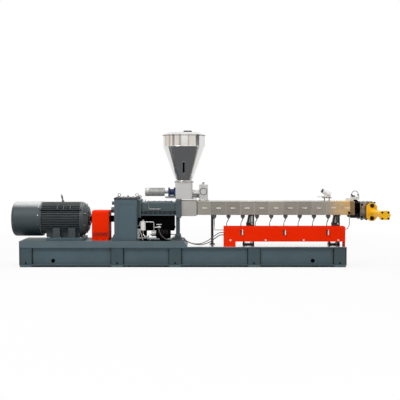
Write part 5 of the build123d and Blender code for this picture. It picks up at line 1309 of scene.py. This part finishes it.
# The web's pale finish is painted light on its front.
join_shapes("lit_stand_webs", lit_stand_webs, aluminium_and_painted_light)
join_shapes("stand_plates", stand_plates, lid_paint)
fit_bolts("stand_bolts", stand_bolts, bright_steel, "polished")

# %% [markdown]
# ## Apron, dome cap and window
# A dark apron closes the gap between gearbox and oil sump. A rubber cap sits on the leaning end of the vent dome,
# turned round the dome's own axis, and a black window marks the front of the terminal block.

# %% Apron, dome cap and window
low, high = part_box("oil_sump")
apron = cut_corners(wall_x - 0.0005, low.x + 0.002, low.z + 0.012, high.z - 0.020, 0.004)
join_shapes("sump_apron", [upright_plate(apron, 0.006, low.y + 0.008)], black_paint_and_shade)
DOME_TILT, DOME_MIDDLE = math.radians(27), Vector((2.52995, 0, 1.26529))
DOME_CAP = [(0.0, 0.1005), (0.0302, 0.1005), (0.0302, 0.080), (0.035, 0.080), (0.035, 0.103), (0.031, 0.107),
            (0.0, 0.107)]
dome_axis = Vector((-math.cos(DOME_TILT), 0, math.sin(DOME_TILT)))
dome_side = Vector((math.sin(DOME_TILT), 0, math.cos(DOME_TILT)))


def on_dome(u, v, w):
    """A place on the dome: u across, v up the leaning side, w along its axis."""
    return DOME_MIDDLE + dome_axis * w + dome_side * v + Vector((0, u, 0))


join_shapes("dome_cap", [turned_cup(DOME_CAP, on_dome)], hose_rubber_and_shadow)
WINDOW_FACE, WINDOW_SHEET = -0.0455, 0.004
window = cut_corners(2.953, 3.016, 1.204, 1.2285, 0.004)
join_shapes("plug_window", [upright_plate(window, WINDOW_SHEET, WINDOW_FACE)], black_plastic)

# %% [markdown]
# ## Studio
# A plain pale floor, a soft key from the upper left, a weaker fill that reflections don't see, and a wide top light.
# The floor is white to the camera and to reflections, and keeps the shadow: right under the machine it stays a plain
# matt floor, so the holes in the base are dark inside.

# %% Floor
FLOOR_LOW, FLOOR_HIGH, FLOOR_GREY = (-60, -30), (60, 90), (0.80, 0.80, 0.80, 1)
FADE_START, FADE_END, NEAR_WHITE = 2.5, 9.0, 0.88


def seen_directly(tree):
    """1 for camera, gloss and glass rays, 0 for the light that falls on things."""
    path = tree.nodes.new("ShaderNodeLightPath")
    return math_node(tree, "MAXIMUM", path.outputs["Is Camera Ray"],
                     math_node(tree, "MAXIMUM", path.outputs["Is Glossy Ray"], path.outputs["Is Transmission Ray"]))


def make_floor():
    """A wide pale floor, nearly white to the camera, but matt under the machine."""
    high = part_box("base_rails")[1]
    mesh = bpy.data.meshes.new("studio_floor")
    corners = [(x, y, 0) for x, y in rectangle(FLOOR_LOW[0], FLOOR_HIGH[0], FLOOR_LOW[1], FLOOR_HIGH[1])]
    mesh.from_pydata(corners, [], [(0, 1, 2, 3)])
    floor = bpy.data.objects.new("studio_floor", mesh)
    bpy.context.scene.collection.objects.link(floor)
    material = bpy.data.materials.new("studio_floor")
    material.use_nodes = True
    tree = material.node_tree
    tree.nodes.clear()
    out = tree.nodes.new("ShaderNodeOutputMaterial")
    diffuse = tree.nodes.new("ShaderNodeBsdfDiffuse")
    diffuse.inputs["Color"].default_value = FLOOR_GREY
    glow = tree.nodes.new("ShaderNodeEmission")
    past_end, past_side = (math_node(tree, "GREATER_THAN", math_node(tree, "ABSOLUTE", object_axis(tree, axis)), reach)
                           for axis, reach in (("X", high.x), ("Y", high.y)))
    outside = math_node(tree, "MAXIMUM", past_end, past_side)
    place = tree.nodes.new("ShaderNodeTexCoord")
    far = add(tree, "ShaderNodeVectorMath", operation="LENGTH")
    tree.links.new(place.outputs["Object"], far.inputs[0])
    fade = ramp(tree, far.outputs["Value"], FADE_START, FADE_END, low=NEAR_WHITE)
    white = math_node(tree, "MULTIPLY", math_node(tree, "MULTIPLY", seen_directly(tree), outside), fade)
    mix = tree.nodes.new("ShaderNodeMixShader")
    tree.links.new(white, mix.inputs["Fac"])
    tree.links.new(diffuse.outputs[0], mix.inputs[1])
    tree.links.new(glow.outputs[0], mix.inputs[2])
    tree.links.new(mix.outputs[0], out.inputs["Surface"])
    mesh.materials.append(material)


make_floor()


# %% World
WORLD_LIGHT = 0.30


def make_world(light):
    """White to camera, gloss and glass; a plain soft light to everything else."""
    world = bpy.data.worlds.new("studio_world")
    bpy.context.scene.world = world
    world.use_nodes = True
    tree = world.node_tree
    back = tree.nodes["Background"]
    back.inputs["Color"].default_value = (1, 1, 1, 1)
    tree.links.new(spread(tree, seen_directly(tree), light, 1.0), back.inputs["Strength"])


make_world(WORLD_LIGHT)


# %% Lamps
def soft_lamp(name, place, target, size, watts):
    """A square area lamp aimed at a point."""
    data = bpy.data.lights.new(name, "AREA")
    data.size = size
    data.energy = watts
    lamp = bpy.data.objects.new(name, data)
    lamp.location = place
    lamp.rotation_euler = (Vector(target) - Vector(place)).to_track_quat("-Z", "Y").to_euler()
    bpy.context.scene.collection.objects.link(lamp)
    return lamp


soft_lamp("key", (-5.0, -8.0, 8.5), (0, 0, 0.8), 4.0, 560)
soft_lamp("fill", (6.5, -8.0, 4.0), (0.5, 0, 0.8), 5.0, 150).visible_glossy = False
soft_lamp("top", (0.0, 0.5, 8.0), (0, 0, 0), 7.0, 420)

# %% [markdown]
# ## Cards for the reflections
# Polished metal shows what stands round it. Cards that only reflections see stand for the hall in front of the
# machine. They give the hopper its grey middle and its warm streaks, and keep the paint from being washed out.


# %% Card makers
def reflected_card(name, corners, colour):
    """A card that only reflections see."""
    mesh = bpy.data.meshes.new(name)
    mesh.from_pydata(corners, [], [range(len(corners))])
    material = bpy.data.materials.new(name)
    material.use_nodes = True
    tree = material.node_tree
    tree.nodes.clear()
    out = tree.nodes.new("ShaderNodeOutputMaterial")
    glow = tree.nodes.new("ShaderNodeEmission")
    glow.inputs["Color"].default_value = (*colour, 1)
    tree.links.new(glow.outputs[0], out.inputs["Surface"])
    mesh.materials.append(material)
    card = bpy.data.objects.new(name, mesh)
    bpy.context.scene.collection.objects.link(card)
    for kind in ("camera", "diffuse", "transmission", "shadow", "volume_scatter"):
        setattr(card, f"visible_{kind}", False)


def standing_card(name, azimuth, width, low, high, colour, distance=17.0):
    """An upright card on a circle round the machine; azimuth 0 is straight in front."""
    places = []
    for side in (-0.5, 0.5):
        a = math.radians(azimuth + side * width)
        places.append((distance * math.sin(a), -distance * math.cos(a)))
    (x0, y0), (x1, y1) = places
    reflected_card(name, [(x0, y0, low), (x1, y1, low), (x1, y1, high), (x0, y0, high)], colour)


# %% Cards
reflected_card("hall_floor", [(-4.6, -13, 0.02), (4.8, -13, 0.02), (4.4, -0.385, 0.02), (-4.2, -0.385, 0.02)],
               (0.130, 0.133, 0.140))
reflected_card("hall_shade", [(0.70, -0.345, 0.705), (2.80, -0.345, 0.705), (2.80, -0.10, 0.705), (0.70, -0.10, 0.705)],
               (0.06, 0.055, 0.05))
STRIP_LOW, STRIP_HIGH = 2.3, 7.0
standing_card("hall_front", 0, 60, 0.0, STRIP_LOW, (0.42, 0.425, 0.44))
BROWN, TAN, CREAM, DARK = (0.24, 0.14, 0.085), (0.55, 0.40, 0.29), (0.88, 0.80, 0.70), (0.075, 0.055, 0.045)
BRIGHT = (1.2, 1.18, 1.15)
for number, (azimuth, width, colour) in enumerate((
        (-120, 5, BROWN), (-104, 22, CREAM), (-84, 14, TAN), (-58, 16, BROWN), (-35, 18, CREAM), (-20, 6, BROWN),
        (5, 32, BRIGHT), (26.5, 6, TAN), (47, 28, CREAM), (81, 26, DARK), (154, 7, BROWN))):
    standing_card(f"hall_strip_{number}", azimuth, width, STRIP_LOW, STRIP_HIGH, colour)
print("studio ready")
